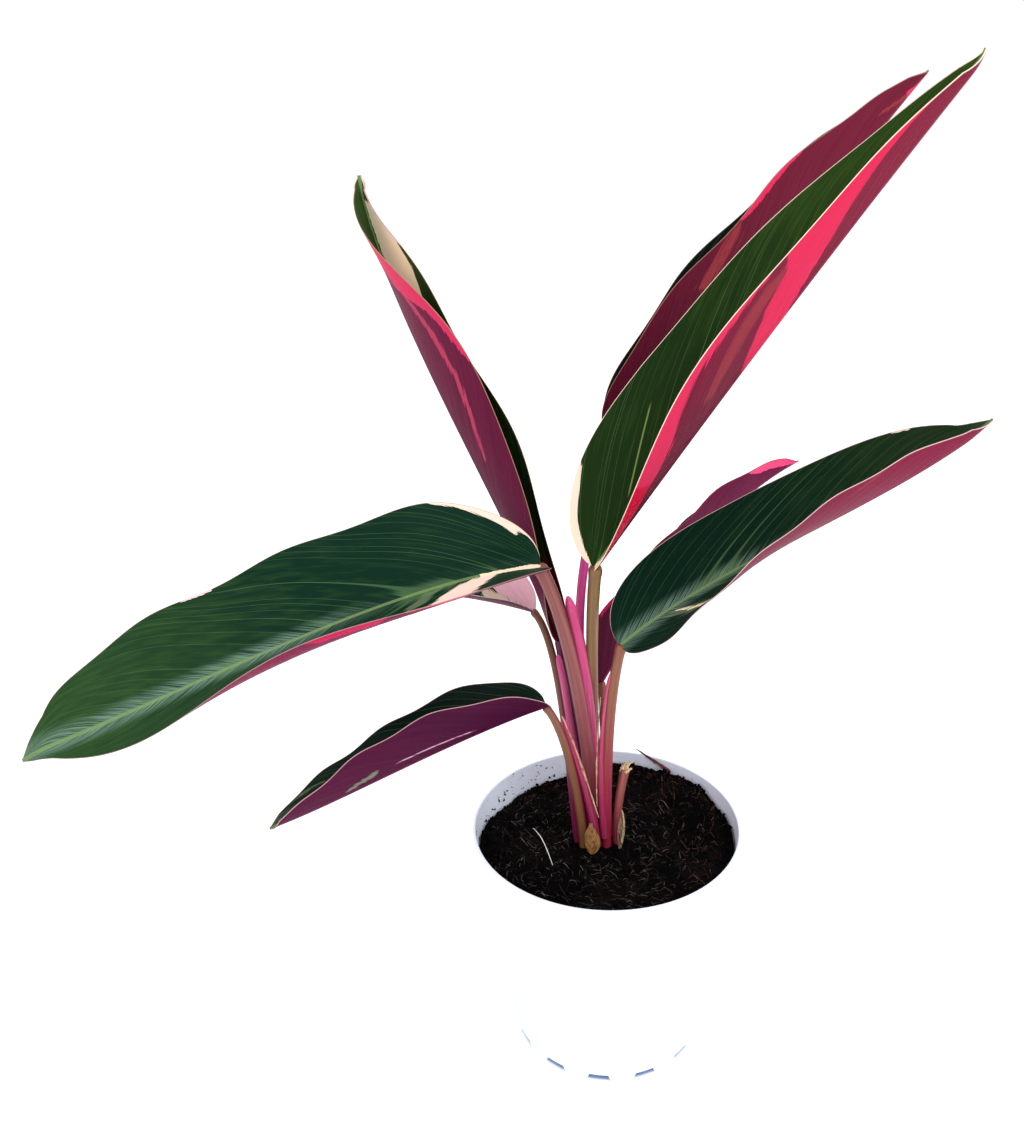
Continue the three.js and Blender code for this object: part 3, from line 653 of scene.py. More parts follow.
LEAF_FORMS = {
    "tall_front": dict(
        midrib=[(-4, -12, 237), (44, -8, 306), (84, -20, 367), (119, -30, 416.5)], hook=(-2, 0, 0),
        half_widths=(34, 30), widest=0.3, fullness=1.4, point=0.9, roll=(30, 14, 5),
        folds=((40, 45, 88), (30, 48, 40)), curls=((40, 10, 2), (5, 5, 5)),
        waves=((1, 2, 0.1), (1, 2, 0.5)), edge=(232, 214, 190), stroke=(12, -20, 27, -65),
        greens=((24, 46, 14), (60, 88, 28)), maroons=((104, 16, 46), (132, 36, 60))),
    "tall_back": dict(
        midrib=[(6, 38, 272), (44, 42, 318), (86, 54, 367), (119.5, 50, 411)], hook=(3, 0, 3.5),
        half_widths=(28, 34), widest=0.36, fullness=1.5, point=0.7, roll=(10, 17, -10),
        folds=((70, 65, 80), (60, 60, 65)), curls=((35, 35, 20), (35, 30, 25)),
        waves=((1.2, 3, 0), (1.2, 3, 0.2)), edge=(150, 104, 92), silver=(0.2, 0.2),
        greens=((22, 38, 32), (44, 58, 46)), maroons=((84, 14, 38), (116, 32, 54)),
        faint=(150, 54, 60)),
    "upright_left": dict(
        midrib=[(-19, 9, 195), (-51, 22, 272), (-87, 24, 334), (-96, 38, 383)], hook=(0, 0, 2),
        half_widths=(30, 26), widest=0.46, fullness=2.3, point=0.9, roll=(-30, -15, -60),
        folds=((35, 65, 40), (50, 75, 65)), curls=((15, 30, 15), (80, 30, 30)),
        waves=((1.5, 2, 0), (2.2, 2.5, 0.3)), edge=(164, 120, 92), red_base=0.17,
        greens=((22, 38, 14), (62, 90, 46)), maroons=((84, 14, 48), (124, 34, 66)),
        faint=(196, 62, 98)),
    "broad_left": dict(
        midrib=[(-25, -12, 238), (-75, -55, 252), (-156, -90, 217), (-188, -114, 214)],
        hook=(-3, -2, -2), half_widths=(33, 39), widest=0.42, fullness=2.2, point=0.8,
        roll=(-18, -10, -30), folds=((18, 5, 10), (45, 10, 25)), curls=((15, 50, 10), (15, 15, 10)),
        waves=((2.5, 2, 0.2), (1.2, 4, 0.5)), edge=(150, 122, 116), silver=(0.1, 1),
        greens=((6, 42, 28), (58, 92, 42)), maroons=((104, 18, 56), (146, 32, 74))),
    "small_left": dict(
        midrib=[(-30, 15, 206), (-63, 20, 214), (-98, 25, 216), (-128, 25, 199)],
        half_widths=(20, 22), widest=0.36, fullness=1.9, point=1, roll=(-15, -15, 0),
        folds=((40, 40, 40), (45, 40, 30)), curls=((15, 15, 10), (10, 10, 5)),
        waves=((0.8, 3, 0.05), (0.8, 3, 0.55)), edge=(236, 200, 206), silver=(0.3, 0.6),
        greens=((10, 38, 24), (56, 84, 42)), maroons=((84, 12, 44), (110, 24, 60))),
    "low_left": dict(
        midrib=[(-24, -14, 176), (-62, -34, 172), (-103, -57, 157), (-130, -67, 151)],
        half_widths=(21, 21), widest=0.35, fullness=1.6, point=0.8, roll=(-17, 10, -5),
        folds=((55, 60, 50), (44, 41, 36)), curls=((15, 20, 10), (10, 5, 5)),
        waves=((0.8, 4, 0.75), (0.8, 4, 0.25)), edge=(190, 150, 150), silver=(0.1, 0.5),
        stroke=(24, -20, 52, -26), greens=((6, 26, 20), (36, 56, 42)),
        maroons=((62, 12, 44), (90, 24, 58)), faint=(120, 128, 108)),
    "broad_right": dict(
        midrib=[(6, -14, 204), (43, -7, 236), (99, -25, 265), (132, -28, 295.5)], hook=(3, 0, 4),
        half_widths=(31, 26), widest=0.43, fullness=1.85, point=0.75, roll=(30, 13, 15),
        folds=((20, 14, 36), (-12, 28, 60)), curls=((10, 20, 30), (35, 20, 20)),
        waves=((1.2, 1, 0.25), (0.6, 5, 0)), edge=(214, 178, 176), silver=(0.9, 0.1),
        greens=((4, 36, 24), (44, 66, 30)), maroons=((104, 22, 50), (134, 36, 66))),
    "back_right": dict(
        midrib=[(-2, 13, 172), (22, 23, 212), (49, 36, 248), (83, 44, 264)], half_widths=(20, 24),
        widest=0.36, fullness=1.8, point=0.8, roll=(-20, -25, -15),
        folds=((30, 25, 25), (62, 33, 62)), curls=((10, 10, 10), (20, 10, 10)),
        waves=((0.8, 4, 0.95), (0.8, 4, 0.45)), edge=(140, 60, 70), silver=(0.3, 0.3),
        greens=((14, 36, 24), (50, 76, 38)), maroons=((70, 10, 40), (112, 24, 66))),
}
LEAF_PATCHES = {
    "tall_front": [
        ("pale", 0.3, 0.4, [(14, -110), (12, -95), (9, -88), (5, -82), (2, -66), (0, -40), (-10, -40),
         (-10, -110)]),
        ("pale", 0.15, 0.6, [(92, 110), (90, 96), (85, 88), (79, 75), (74, 62), (69, 45), (64, 28),
         (56, 10), (48, -5), (38, -5), (42, 12), (46, 28), (50, 50), (57, 70), (60, 110)]),
        ("pale", 0.2, 0.8, [(58, 110), (55, 95), (50, 92), (42, 88), (36, 86), (30, 72), (25, 50),
         (20, 40), (17, 40), (17, 110)]),
        ("pale", 0.0, 0.8, [(18, 110), (18, 40), (14, 36), (10, 28), (5, 10), (0, -5), (-10, -5),
         (-10, 110)]),
        ("muted", 0.2, 1.2, [(60, 85), (58, 64), (52, 58), (46, 48), (40, 36), (33, 26), (33, 42),
         (40, 60), (46, 74), (54, 86)]),
    ],
    "tall_back": [
        ("pale", 0.2, 0.2, [(53, 110), (54.5, 95), (60, 92), (66, 93), (73, 97), (76, 110)]),
        ("muted", 0.1, 1.2, [(55, 100), (52, 86), (48, 78), (44, 70), (39, 63), (38, 76), (44, 85),
         (48, 92), (53, 102)]),
        ("muted", 0.4, 0.8, [(88, 42), (97, 2), (96, 18), (91, 45)]),
        ("pale", 0.3, 0.2, [(95, -10), (96.5, 25), (99, 10), (99, -10)]),
    ],
    "upright_left": [
        ("pale", 0.25, 0.4, [(88, -110), (84, -70), (79, -50), (74, -50), (70, -68), (66, -86),
         (56, -93), (50, -110)]),
        ("muted", 0.0, 0.45, [(78, -56), (68, -60), (60, -60), (52, -58), (44, -51), (35, -36),
         (36, -44), (44, -60), (52, -67), (60, -70), (70, -70)]),
        ("pale", 0.1, 0.6, [(95, 10), (86, 10), (78, 8), (70, 10), (66, 30), (68, 60), (76, 84),
         (84, 94), (93, 94)]),
        ("pale", 0.8, 0.3, [(100, 60), (92, 80), (82, 94), (80, 110), (100, 110)]),
    ],
    "broad_left": [
        ("pale", 0.3, 0.5, [(20, 110), (18, 97), (14, 94), (10, 89), (7, 84), (4.5, 72), (4, 86),
         (2, 93), (0, 90), (-10, 110)]),
        ("pale", 0.1, 0.3, [(-10, -10), (0, -12), (6, -5), (14, -4), (14, 2), (6, 3), (0, 12),
         (-10, 10)]),
        ("pale", 0.35, 0.9, [(10, -2), (15, -3), (19, -12), (23, -30), (27, -55), (27, -95),
         (22, -85), (18, -50), (14, -22)]),
        ("pale", 0.5, 0.2, [(22, -96), (33, -97), (33, -110), (22, -110)]),
        ("muted", 0.0, 0.8, [(20, -3), (25, -5), (30, -30), (32, -50), (27, -36), (23, -12)]),
        ("pale", 0.8, 0.2, [(56, 110), (57, 98), (63, 98), (64, 110)]),
        ("flush", 0.0, 0.4, [(35, -110), (37, -82), (46, -86), (51, -110)]),
    ],
    "small_left": [
        ("pale", 1.0, 1.0, [(-10, 0), (10, 10), (18, 22), (25, 45), (30, 80), (33, 110), (-10, 110)]),
        ("pale", 0.1, 1.0, [(-10, -10), (20, 2), (24, 8), (24, 30), (16, 20), (10, 10), (-10, 0)]),
        ("pale", 0.4, 1.0, [(50, -10), (62, -40), (70, -80), (58, -50)]),
    ],
    "low_left": [
        ("muted", 0.2, 0.5, [(57, -34), (58, -20), (70, -14), (66, -28)]),
        ("muted", 0.2, 0.8, [(74, 66), (82, 78), (92, 98), (84, 94)]),
    ],
    "broad_right": [
        ("pale", 0.1, 0.5, [(18, 14), (22, 30), (29, 70), (26, 62), (21, 32)]),
        ("muted", 0.1, 1.0, [(14, 5), (20, 16), (27, 50), (31, 90), (24, 60), (18, 30)]),
        ("pale", 0.2, 0.3, [(81, -110), (82, -95), (86, -96), (87, -110)]),
        ("muted", 0.4, 0.8, [(68, 74), (72, 80), (80, 100), (76, 98)]),
        ("muted", 0.3, 0.8, [(42, 30), (50, 42), (60, 80), (54, 60)]),
    ],
    "back_right": [
        ("pale", 0.6, 0.4, [(80, 110), (84, 72), (90, 55), (95, 30), (110, -10), (110, 110)]),
        ("flush", 0.0, 0.5, [(18, 110), (20, 93), (30, 94), (34, 110)]),
    ],
}
LEAVES = {name: {**PLAIN_LEAF, **form, "patches": LEAF_PATCHES[name]}
          for name, form in LEAF_FORMS.items()}

BLADE_THICKNESS, MARGIN_THICKNESS = 0.5, 0.22
RIB_SHARE, RIB_TAPER, RIB_BREADTH = 0.035, 0.02, 1.4
TIP_HALF_WIDTH, FLAT_BELOW, WAVE_FULL, BASE_ROUNDNESS, HOOK_START = 0.8, 4, 15, 2.4, 0.95
FOLD_RADIUS = 0.7  # the upper face is rounded this much where it folds
ALONG, ACROSS = 220, 48  # faces of one side of a blade
VEIN_SLANT, VEIN_BEND, VEIN_SPACING = 0.22, 0.12, 6.5
QUILT = 0.03  # how far the blade swells between its side veins
# The last is how strongly the pale patches glow, a painted glow for light shining through them.
LEAF_SPECULAR, PAINTED_GLOW = 0.05, 0.15


def along_leaf(values, t):
    """A value given at the base, the middle and the tip, read anywhere between."""
    base, middle, tip = values
    return base * (1 - t) * (1 - 2 * t) + middle * 4 * t * (1 - t) + tip * t * (2 * t - 1)


def unit(vectors):
    """Vectors made one long."""
    return vectors / np.linalg.norm(vectors, axis=-1, keepdims=True)


def midrib_frame(leaf, t):
    """The midrib's places at t and the blade's own axes there: forward, right and up."""
    a, b, c, d = np.array(leaf["midrib"], float)
    hook = np.array(leaf["hook"], float)
    bend = np.maximum(0, (t - HOOK_START) / (1 - HOOK_START))[:, None]
    place = bezier(leaf["midrib"], t) + hook * bend ** 2
    s = t[:, None]
    forward = unit(3 * (1 - s) ** 2 * (b - a) + 6 * s * (1 - s) * (c - b) + 3 * s ** 2 * (d - c)
                   + hook * 2 * bend / (1 - HOOK_START))
    chord = d - a
    level_right = unit(np.array([chord[1], -chord[0], 0]))
    flat_right = unit(level_right - (forward @ level_right)[:, None] * forward)
    roll = np.radians(along_leaf(leaf["roll"], t))[:, None]
    up = np.cross(flat_right, forward) * np.cos(roll) + flat_right * np.sin(roll)
    return place, forward, np.cross(forward, up), up


def blade_outline(leaf, t):
    """How wide a blade is at t, as a share of its half width: a round base and a pointed tip."""
    widest = leaf["widest"]
    base = np.sqrt(np.maximum(0, 1 - np.abs(1 - t / widest) ** BASE_ROUNDNESS))
    beyond = np.maximum(0, (t - widest) / (1 - widest))
    tip = np.maximum(0, 1 - beyond ** leaf["fullness"]) ** leaf["point"]
    return np.where(t < widest, base, tip)


def inside_outline(corners, x, y):
    """How far each place lies inside an outline, or outside as a negative distance."""
    nearest = np.full(x.shape, np.inf)
    inside = np.zeros(x.shape, bool)
    for (ax, ay), (bx, by) in zip(corners, corners[1:] + corners[:1]):
        run, rise = bx - ax, by - ay
        share = np.clip(((x - ax) * run + (y - ay) * rise) / (run ** 2 + rise ** 2), 0, 1)
        nearest = np.minimum(nearest, np.hypot(x - ax - share * run, y - ay - share * rise))
        if rise:
            inside ^= ((ay > y) != (by > y)) & (x < ax + run * (y - ay) / rise)
    return np.where(inside, nearest, -nearest)


def mark_blade(piece, leaf, t, signed, half_width, width, length, vein):
    """Keeps what a blade's finish reads: how far each vertex lies inside the patches and from the
    stroke, the midrib and the margin, and its place along the side veins. T is the vertex's share
    of the way along the blade, and signed its share of the way out, negative on the left."""
    share = np.abs(signed)
    x, y = t * length, signed * half_width
    held = {kind: np.full(t.shape, -99.0) for kind in ("pale", "muted", "flush")}
    blush = np.zeros(t.shape)
    for kind, tint, raggedness, corners in leaf["patches"]:
        outline = [(a / 100 * length, b / 100 * half_width.max()) for a, b in corners]
        reach = inside_outline(outline, x, signed * half_width.max()) / raggedness
        if kind == "pale":
            blush = np.where(reach > held["pale"], tint, blush)
        held[kind] = np.maximum(held[kind], reach)
    for kind, values in held.items():
        mark(piece, kind, np.maximum(values, -9))
    start, start_share, end, end_share = (part / 100 for part in leaf["stroke"])
    run = (t - start) / (end - start)
    mark(piece, "stroke", (signed - start_share - (end_share - start_share) * run) * width)
    mark(piece, "stroke_end", np.minimum(run, 1 - run) * (end - start) * length)
    mark(piece, "blush", blush)
    mark(piece, "along", t)
    mark(piece, "from_rib", share * width)
    mark(piece, "from_margin", (1 - share) * width)
    noise_layer = np.full(t.shape, 10.0 * len(piece.name))  # a longer name reads other noise
    mark(piece, "lie", np.stack([vein, y, noise_layer], axis=1))


def make_blade(name, leaf, along=ALONG, across=ACROSS, thickness=BLADE_THICKNESS):
    """A thin closed blade with a keel under its midrib, swollen a little between its side veins."""
    around = 2 * across + 2
    piece, u, v = flat_grid(name, along, around)
    t = u * u * (3 - 2 * u)  # the rows of faces are shorter at both ends
    column = np.rint(v * around)
    upper = (column <= across) | (column == around)
    spread = 2 * np.where(column <= across, column, np.maximum(around - 1 - column, 0)) / across - 1
    signed = spread * (0.65 + 0.35 * spread ** 2)  # the columns are narrower by the midrib
    side, share = np.where(signed < 0, -1, 1), np.abs(signed)
    left = side < 0

    place, _, right, up = midrib_frame(leaf, t)
    half_width = np.where(left, *leaf["half_widths"])
    width = np.maximum(half_width * blade_outline(leaf, t), TIP_HALF_WIDTH)
    flatten = np.minimum(1, width / FLAT_BELOW)
    fold, curl = (np.radians(np.where(left, along_leaf(halves[0], t), along_leaf(halves[1], t)))
                  * flatten for halves in (leaf["folds"], leaf["curls"]))
    height, count, start = (np.where(left, *halves) for halves in zip(*leaf["waves"]))
    ripple = (height * np.sin(2 * np.pi * (count * t + start))
              * share ** 2 * np.minimum(1, width / WAVE_FULL))
    turn = fold + curl * share
    out = width * (np.sin(turn) - np.sin(fold)) / curl
    lift = width * (np.cos(fold) - np.cos(turn)) / curl + ripple

    rib = max(leaf["half_widths"]) * (RIB_SHARE - RIB_TAPER * t)
    from_rib = share * width
    facing = turn * np.minimum(1, from_rib / 1.5)
    normal = up * np.cos(facing)[:, None] - right * (side * np.sin(facing))[:, None]
    length = curve_length(leaf["midrib"])
    vein = length * (t - VEIN_SLANT * share - VEIN_BEND * share ** 2)
    window = np.minimum(1, from_rib / 4) * (1 - share ** 4) * np.minimum(1, width / WAVE_FULL)
    swell = QUILT * (np.cos(2 * np.pi * vein / VEIN_SPACING) + np.cos(3.9 * vein / VEIN_SPACING)) * window
    rounding = np.sin(fold) * (np.hypot(from_rib, FOLD_RADIUS) - from_rib)
    ends = np.minimum(1, 40 * u * (1 - u))
    depth = (MARGIN_THICKNESS + (thickness - MARGIN_THICKNESS) * (1 - share ** 6)
             + np.maximum(0, rib - thickness) * np.exp(-(from_rib / RIB_BREADTH) ** 2))
    offset = swell + np.where(upper, 0, -depth * ends)
    lift = lift + np.where(upper, rounding, 0) * ends
    shape(piece, place + right * (side * out)[:, None] + up * lift[:, None] + normal * offset[:, None])
    mark_blade(piece, leaf, t, signed, half_width, width, length, vein)

    rows = np.arange(len(piece.data.polygons)) // along
    piece.data.materials.append(None)
    piece.data.materials.append(None)
    piece.data.polygons.foreach_set("material_index", ((rows > across) & (rows < around - 1)).astype(int))
    close_skin(piece, 55)
    return piece


def group_sockets(group, names):
    """A node group's output node, with a socket for each name."""
    for name in names:
        group.interface.new_socket(name, in_out="OUTPUT", socket_type="NodeSocketFloat")
    return group.nodes.new("NodeGroupOutput")


leaf_marks = bpy.data.node_groups.new("leaf_marks", "ShaderNodeTree")
leaf_output = group_sockets(leaf_marks, ["Pale", "Muted", "Flush", "Streaks", "Fine streaks", "Mottle",
                                         "Veins", "Stroke", "Midrib", "Margin", "Relief"])
lie = attribute(leaf_marks, "lie", "Vector")
streaks = grain(lie, (0.42, 0.03, 1), 3)
fine_streaks = grain(lie, (1.6, 0.07, 1), 3)
fingers = sums("ADD", ramp(streaks, 0.25, 0.75, -1.6, 1.6),
               ramp(fine_streaks, 0.25, 0.75, -0.9, 0.9))
vein_line = sums("ABSOLUTE", sums("SUBTRACT", grain(lie, (0.11, 0.004, 1), 0), 0.5))
skin_grain = grain(lie, (0.9, 0.9, 1), 4)
from_stroke = sums("ABSOLUTE", attribute(leaf_marks, "stroke"))
stroke = sums("MULTIPLY", ramp(from_stroke, 0.15, 0.5, 1, 0),
              ramp(attribute(leaf_marks, "stroke_end"), 0, 4))
stroke = sums("MULTIPLY", stroke, ramp(streaks, 0.35, 0.55, 0.3, 1))
for socket, source in {
    **{kind.capitalize(): ramp(sums("ADD", attribute(leaf_marks, kind), fingers), low, high)
       for kind, low, high in (("pale", -0.12, 0.12), ("muted", -0.4, 0.5), ("flush", -1.0, 1.2))},
    "Streaks": streaks,
    "Fine streaks": fine_streaks,
    "Mottle": grain(lie, (0.2, 0.14, 1), 5),
    "Veins": ramp(vein_line, 0.003, 0.01, 1, 0),
    "Stroke": stroke,
    "Midrib": ramp(attribute(leaf_marks, "from_rib"), 0.45, 1.0, 1, 0),
    "Margin": ramp(attribute(leaf_marks, "from_margin"), 0.16, 0.3, 1, 0),
    "Relief": sums("ADD", fine_streaks, skin_grain),
}.items():
    feed(leaf_output.inputs[socket], source)


def group_outputs(tree, group):
    """The outputs of a node group, by name, used in a material."""
    used = tree.nodes.new("ShaderNodeGroup")
    used.node_tree = group
    return used.outputs


def overlaid(colour, marks, layers):
    """The colour with a tone laid over it for each mark, by a strength."""
    for mark_name, strength, tone in layers:
        colour = blend(sums("MULTIPLY", marks[mark_name], strength), colour, ink(*tone))
    return colour


def upper_face(name, leaf):
    """Mottled dark green, lighter by the tip, silvery by the midrib, with cream or pink patches
    that glow a little: a painted glow for the light that shines through them."""
    material, tree, shader = new_material(name + "_upper", LEAF_SPECULAR)
    marks = group_outputs(tree, leaf_marks)
    dark, light = (ink(*tone) for tone in leaf["greens"])
    along = attribute(tree, "along")
    tipward = ramp(along, 0.25, 1.05, -0.12, 0.45)
    lighter = sums("ADD", tipward, ramp(marks["Mottle"], 0.35, 0.75, 0, 0.3))
    colour = blend(lighter, dark, light)
    colour = blend(ramp(marks["Fine streaks"], 0.35, 0.75, 0, 0.12), colour, dark)
    by_base, by_tip = leaf["silver"]
    silvery = ramp(along, 0.3, 0.55, by_base, by_tip)
    feather = sums("MULTIPLY", silvery, ramp(attribute(tree, "from_rib"), 1.0, 7.0, 0.9, 0))
    feather = sums("MULTIPLY", feather, ramp(marks["Fine streaks"], 0.4, 0.6))
    colour = blend(feather, colour, ink(120, 150, 134))
    colour = overlaid(colour, marks, [
        ("Veins", 0.4, (96, 132, 84)), ("Muted", 0.6, (116, 136, 100)),
        ("Midrib", 0.6, (128, 156, 96)), ("Stroke", 0.6, (150, 164, 96))])
    cream = blend(attribute(tree, "blush"), ink(236, 218, 186), ink(255, 196, 214))
    cream = blend(ramp(marks["Fine streaks"], 0.45, 0.8, 0, 0.3), cream, ink(246, 230, 208))
    colour = blend(marks["Pale"], colour, cream)
    reddened = ramp(along, leaf["red_base"] - 0.06, leaf["red_base"], 0.9, 0)
    colour = blend(reddened, colour, ink(96, 20, 44))
    colour = blend(marks["Margin"], colour, ink(*leaf["edge"]))
    roughness = ramp(marks["Fine streaks"], 0.3, 0.7, 0.42, 0.54)
    dress(shader, colour, roughness, marks["Relief"], 0.06)
    # Painted glow: the pale patches give off a little of their own colour, for light shining through
    # them.
    painted_glow = blend(marks["Pale"], ink(0, 0, 0), cream)
    feed(shader.inputs["Emission Color"], painted_glow)
    feed(shader.inputs["Emission Strength"], PAINTED_GLOW)
    return material


def lower_face(name, leaf):
    """Maroon with a satin finish, hot pink under the pale patches and brown red under the faint."""
    material, tree, shader = new_material(name + "_lower", LEAF_SPECULAR)
    marks = group_outputs(tree, leaf_marks)
    deep, bright = (ink(*tone) for tone in leaf["maroons"])
    tipward = ramp(attribute(tree, "along"), 0.1, 1.0, 0, 0.6)
    lighter = sums("ADD", tipward, ramp(marks["Streaks"], 0.35, 0.7, 0, 0.3))
    colour = blend(lighter, deep, bright)
    colour = overlaid(colour, marks, [
        ("Veins", 0.3, leaf["maroons"][0]), ("Muted", 0.8, leaf["faint"]),
        ("Stroke", 0.8, (226, 176, 196)), ("Flush", 0.8, (204, 24, 82))])
    pink = blend(attribute(tree, "blush"), ink(200, 4, 52), ink(250, 92, 150))
    pink = blend(ramp(marks["Fine streaks"], 0.45, 0.8, 0, 0.15), pink, ink(255, 96, 136))
    colour = blend(marks["Pale"], colour, pink)
    colour = overlaid(colour, marks, [("Midrib", 0.4, (160, 56, 80))])
    colour = blend(marks["Margin"], colour, ink(*leaf["edge"]))
    dress(shader, colour, 0.5, marks["Relief"], 0.08)
    return material


for name, leaf in LEAVES.items():
    blade = make_blade("leaf_" + name, leaf)
    blade.data.materials[0] = upper_face(name, leaf)
    blade.data.materials[1] = lower_face(name, leaf)
    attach(blade, "root")
    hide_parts("blade_" + name)

# ------------------------------------------------------------------------------ stalks
# Each leaf has a firm smooth stalk with fine lengthwise streaks. It grows from the clump and
# ends in a short swollen knuckle that turns the blade to the light.

STALK_FOOT = 96.3
KNUCKLE = 4.0
STALKS = {
    "tall_front": dict(foot=(-3, 7.5), bends=[(-5, 9, 140), (-7, 0, 200)], radii=(2.4, 2.6),
                       tones=((132, 54, 68), (134, 108, 66))),
    "tall_back": dict(foot=(-1, 12.5), bends=[(-9, 13, 160), (-22, 15, 215)], radii=(2, 2),
                      tones=((200, 60, 120), (244, 84, 168))),
    "upright_left": dict(foot=(-8, 7), bends=[(-9, 10, 130), (-17, 10, 165)], radii=(2, 2),
                         tones=((110, 30, 74), (104, 26, 70))),
    "broad_left": dict(foot=(-4.5, 1.5), bends=[(-6, -1, 140), (-12.5, -6, 209)], radii=(2.9, 2.9),
                       tones=((134, 60, 70), (144, 88, 82))),
    "small_left": dict(foot=(-12.5, 1.8), bends=[(-16.2, 3.8, 130), (-18, 6, 198)], radii=(1.9, 1.6),
                       tones=((120, 22, 76), (118, 78, 56))),
    "low_left": dict(foot=(-9.5, -3.5), bends=[(-11, -6, 125), (-16, -16, 167)], radii=(2.3, 1.7),
                     tones=((124, 90, 52), (126, 82, 58))),
    "broad_right": dict(foot=(0.5, -2), bends=[(0.5, -6, 140), (1, -11, 178)], radii=(2.2, 2.2),
                        tones=((164, 30, 70), (136, 88, 62))),
    "back_right": dict(foot=(1.8, 3.2), bends=[(0.5, 2.5, 130), (-0.5, 5.5, 150)], radii=(1.8, 1.7),
                       tones=((112, 44, 48), (126, 74, 60))),
}

stem_streaks = bpy.data.node_groups.new("stem_streaks", "ShaderNodeTree")
stem_output = group_sockets(stem_streaks, ["Broad", "Fine", "Flecks"])
stem_lie = attribute(stem_streaks, "lie", "Vector")
for socket, stretch, detail in (("Broad", (0.5, 0.5, 0.012), 2), ("Fine", (3.0, 3.0, 0.05), 3),
                                ("Flecks", (2.2, 2.2, 1.1), 3)):
    feed(stem_output.inputs[socket], grain(stem_lie, stretch, detail))


def stem_material(name, foot_tone, top_tone, dark_tone, pale_tone, radius):
    """A smooth stem's skin, from its foot's colour to its top's, with painted shade along its two
    sides, and with dark and pale streaks."""
    material, tree, shader = new_material(name, 0.3)
    broad, fine, flecks = group_outputs(tree, stem_streaks)
    colour = blend(ramp(attribute(tree, "along"), 0.1, 0.8), ink(*foot_tone), ink(*top_tone))
    colour = blend(ramp(broad, 0.4, 0.7, 0, 0.4), colour, ink(*dark_tone))
    colour = blend(ramp(fine, 0.5, 0.75, 0, 0.3), colour, ink(*pale_tone))
    # Painted shade: the skin darkens towards its two sides.
    aside = put(tree, "SeparateXYZ", attribute(tree, "lie", "Vector")).outputs[0]
    painted_side_shade = ramp(sums("ABSOLUTE", aside), 0.66 * radius, 0.97 * radius, 0, 0.8)
    colour = blend(painted_side_shade, colour, ink(*dark_tone))
    colour = blend(ramp(flecks, 0.68, 0.78, 0, 0.35), colour, ink(*dark_tone))
    dress(shader, colour, ramp(broad, 0.3, 0.7, 0.36, 0.5), fine, 0.12)
    return material


CRIMSON = (118, 26, 50)


def toned(tone, factor):
    """A colour made lighter or darker by a factor."""
    return tuple(min(255, value * factor) for value in tone)


for name, stalk in STALKS.items():
    base, forward, _, _ = midrib_frame(LEAVES[name], np.array([0.0]))
    curve = [(*stalk["foot"], STALK_FOOT), *stalk["bends"], tuple(base[0] + forward[0])]
    foot_radius, top_radius = stalk["radii"]
    swelling = KNUCKLE / curve_length(curve)

    def stalk_radius(t):
        """A stalk's radius: an even taper, swollen at the knuckle and drawn in where it ends."""
        plain = foot_radius + (top_radius - foot_radius) * t
        knuckle = 0.1 * top_radius * np.clip((t - 1 + 1.4 * swelling) / (0.4 * swelling), 0, 1)
        return (plain + knuckle) * np.where(t > 1 - 0.12 * swelling, 0.82, 1)

    stem = rod("stalk_of_" + name, curve, stalk_radius, 90, 24,
               lambda angle, t: 1 + 0.035 * np.cos(2 * angle + 2) + 0.012 * np.cos(7 * angle + 3 * t))
    foot_tone, top_tone = stalk["tones"]
    stem.data.materials.append(stem_material("skin_of_" + name, foot_tone, top_tone, CRIMSON,
                                             toned(top_tone, 1.2), top_radius))
    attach(stem, "root")
    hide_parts("stalk_" + name)

# ------------------------------------------------------------------------------ sheaths
# Fleshy pink wings stand beside four of the stalks, rounded at the top. Two have a thin dry tan
# edge that has come away.

SHEATHS = {
    "low_left": dict(path=[(-4, -4, 99), (-6, -8, 128), (-13, -11, 152), (-18, -12, 170)],
                     radii=(2.2, 1.2), tones=((164, 40, 84), (186, 56, 100))),
    "broad_left": dict(path=[(-4, 0, 104), (-5, 2, 150), (-7, -3, 190), (-15, -5, 222)],
                       radii=(2.2, 2.6), tones=((178, 48, 100), (212, 72, 128))),
    "broad_right": dict(path=[(-0.5, -5, 104), (-3, -6, 135), (-1, -8, 172), (3, -13, 192)],
                        radii=(1.6, 1.2), tones=((172, 34, 84), (200, 70, 112))),
    "small_left": dict(path=[(-13, 0, 145), (-15.5, 1, 160), (-17.5, 2, 180), (-20, 3.5, 191)],
                       radii=(1.6, 1.4), tones=((176, 60, 110), (216, 84, 144))),
}
ROUND_FROM, BLUNTNESS = 0.88, 0.06

for name, sheath in SHEATHS.items():
    low, high = sheath["radii"]

    def wing_radius(t):
        """A sheath's radius: an even taper with a rounded top."""
        rise = np.maximum(0, (t - ROUND_FROM) / (1 - ROUND_FROM))
        return (low + (high - low) * t) * np.sqrt(1 - (1 - BLUNTNESS) * rise ** 2)

    wing = rod("pink_sheath_" + name, sheath["path"], wing_radius, 90, 24,
               lambda angle, t: 1 - 0.12 * np.sin(angle) ** 2 + 0.015 * np.cos(6 * angle))
    foot_tone, top_tone = sheath["tones"]
    wing.data.materials.append(stem_material("sheath_skin_" + name, foot_tone, top_tone,
                                             toned(top_tone, 0.72), (238, 150, 180), high))
    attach(wing, "root")
    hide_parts("sheath_" + name)

DRY_EDGES = {
    "low_left": dict(path=[(-18, -13.6, 171), (-13, -13.4, 158), (-8.5, -11.5, 140), (-3, -8.4, 117)],
                     width=0.55),
    "broad_right": dict(path=[(-1.8, -9.6, 178), (-3.4, -9, 158), (-4.2, -8.2, 140), (-3.6, -7.6, 122)],
                        width=0.4),
}


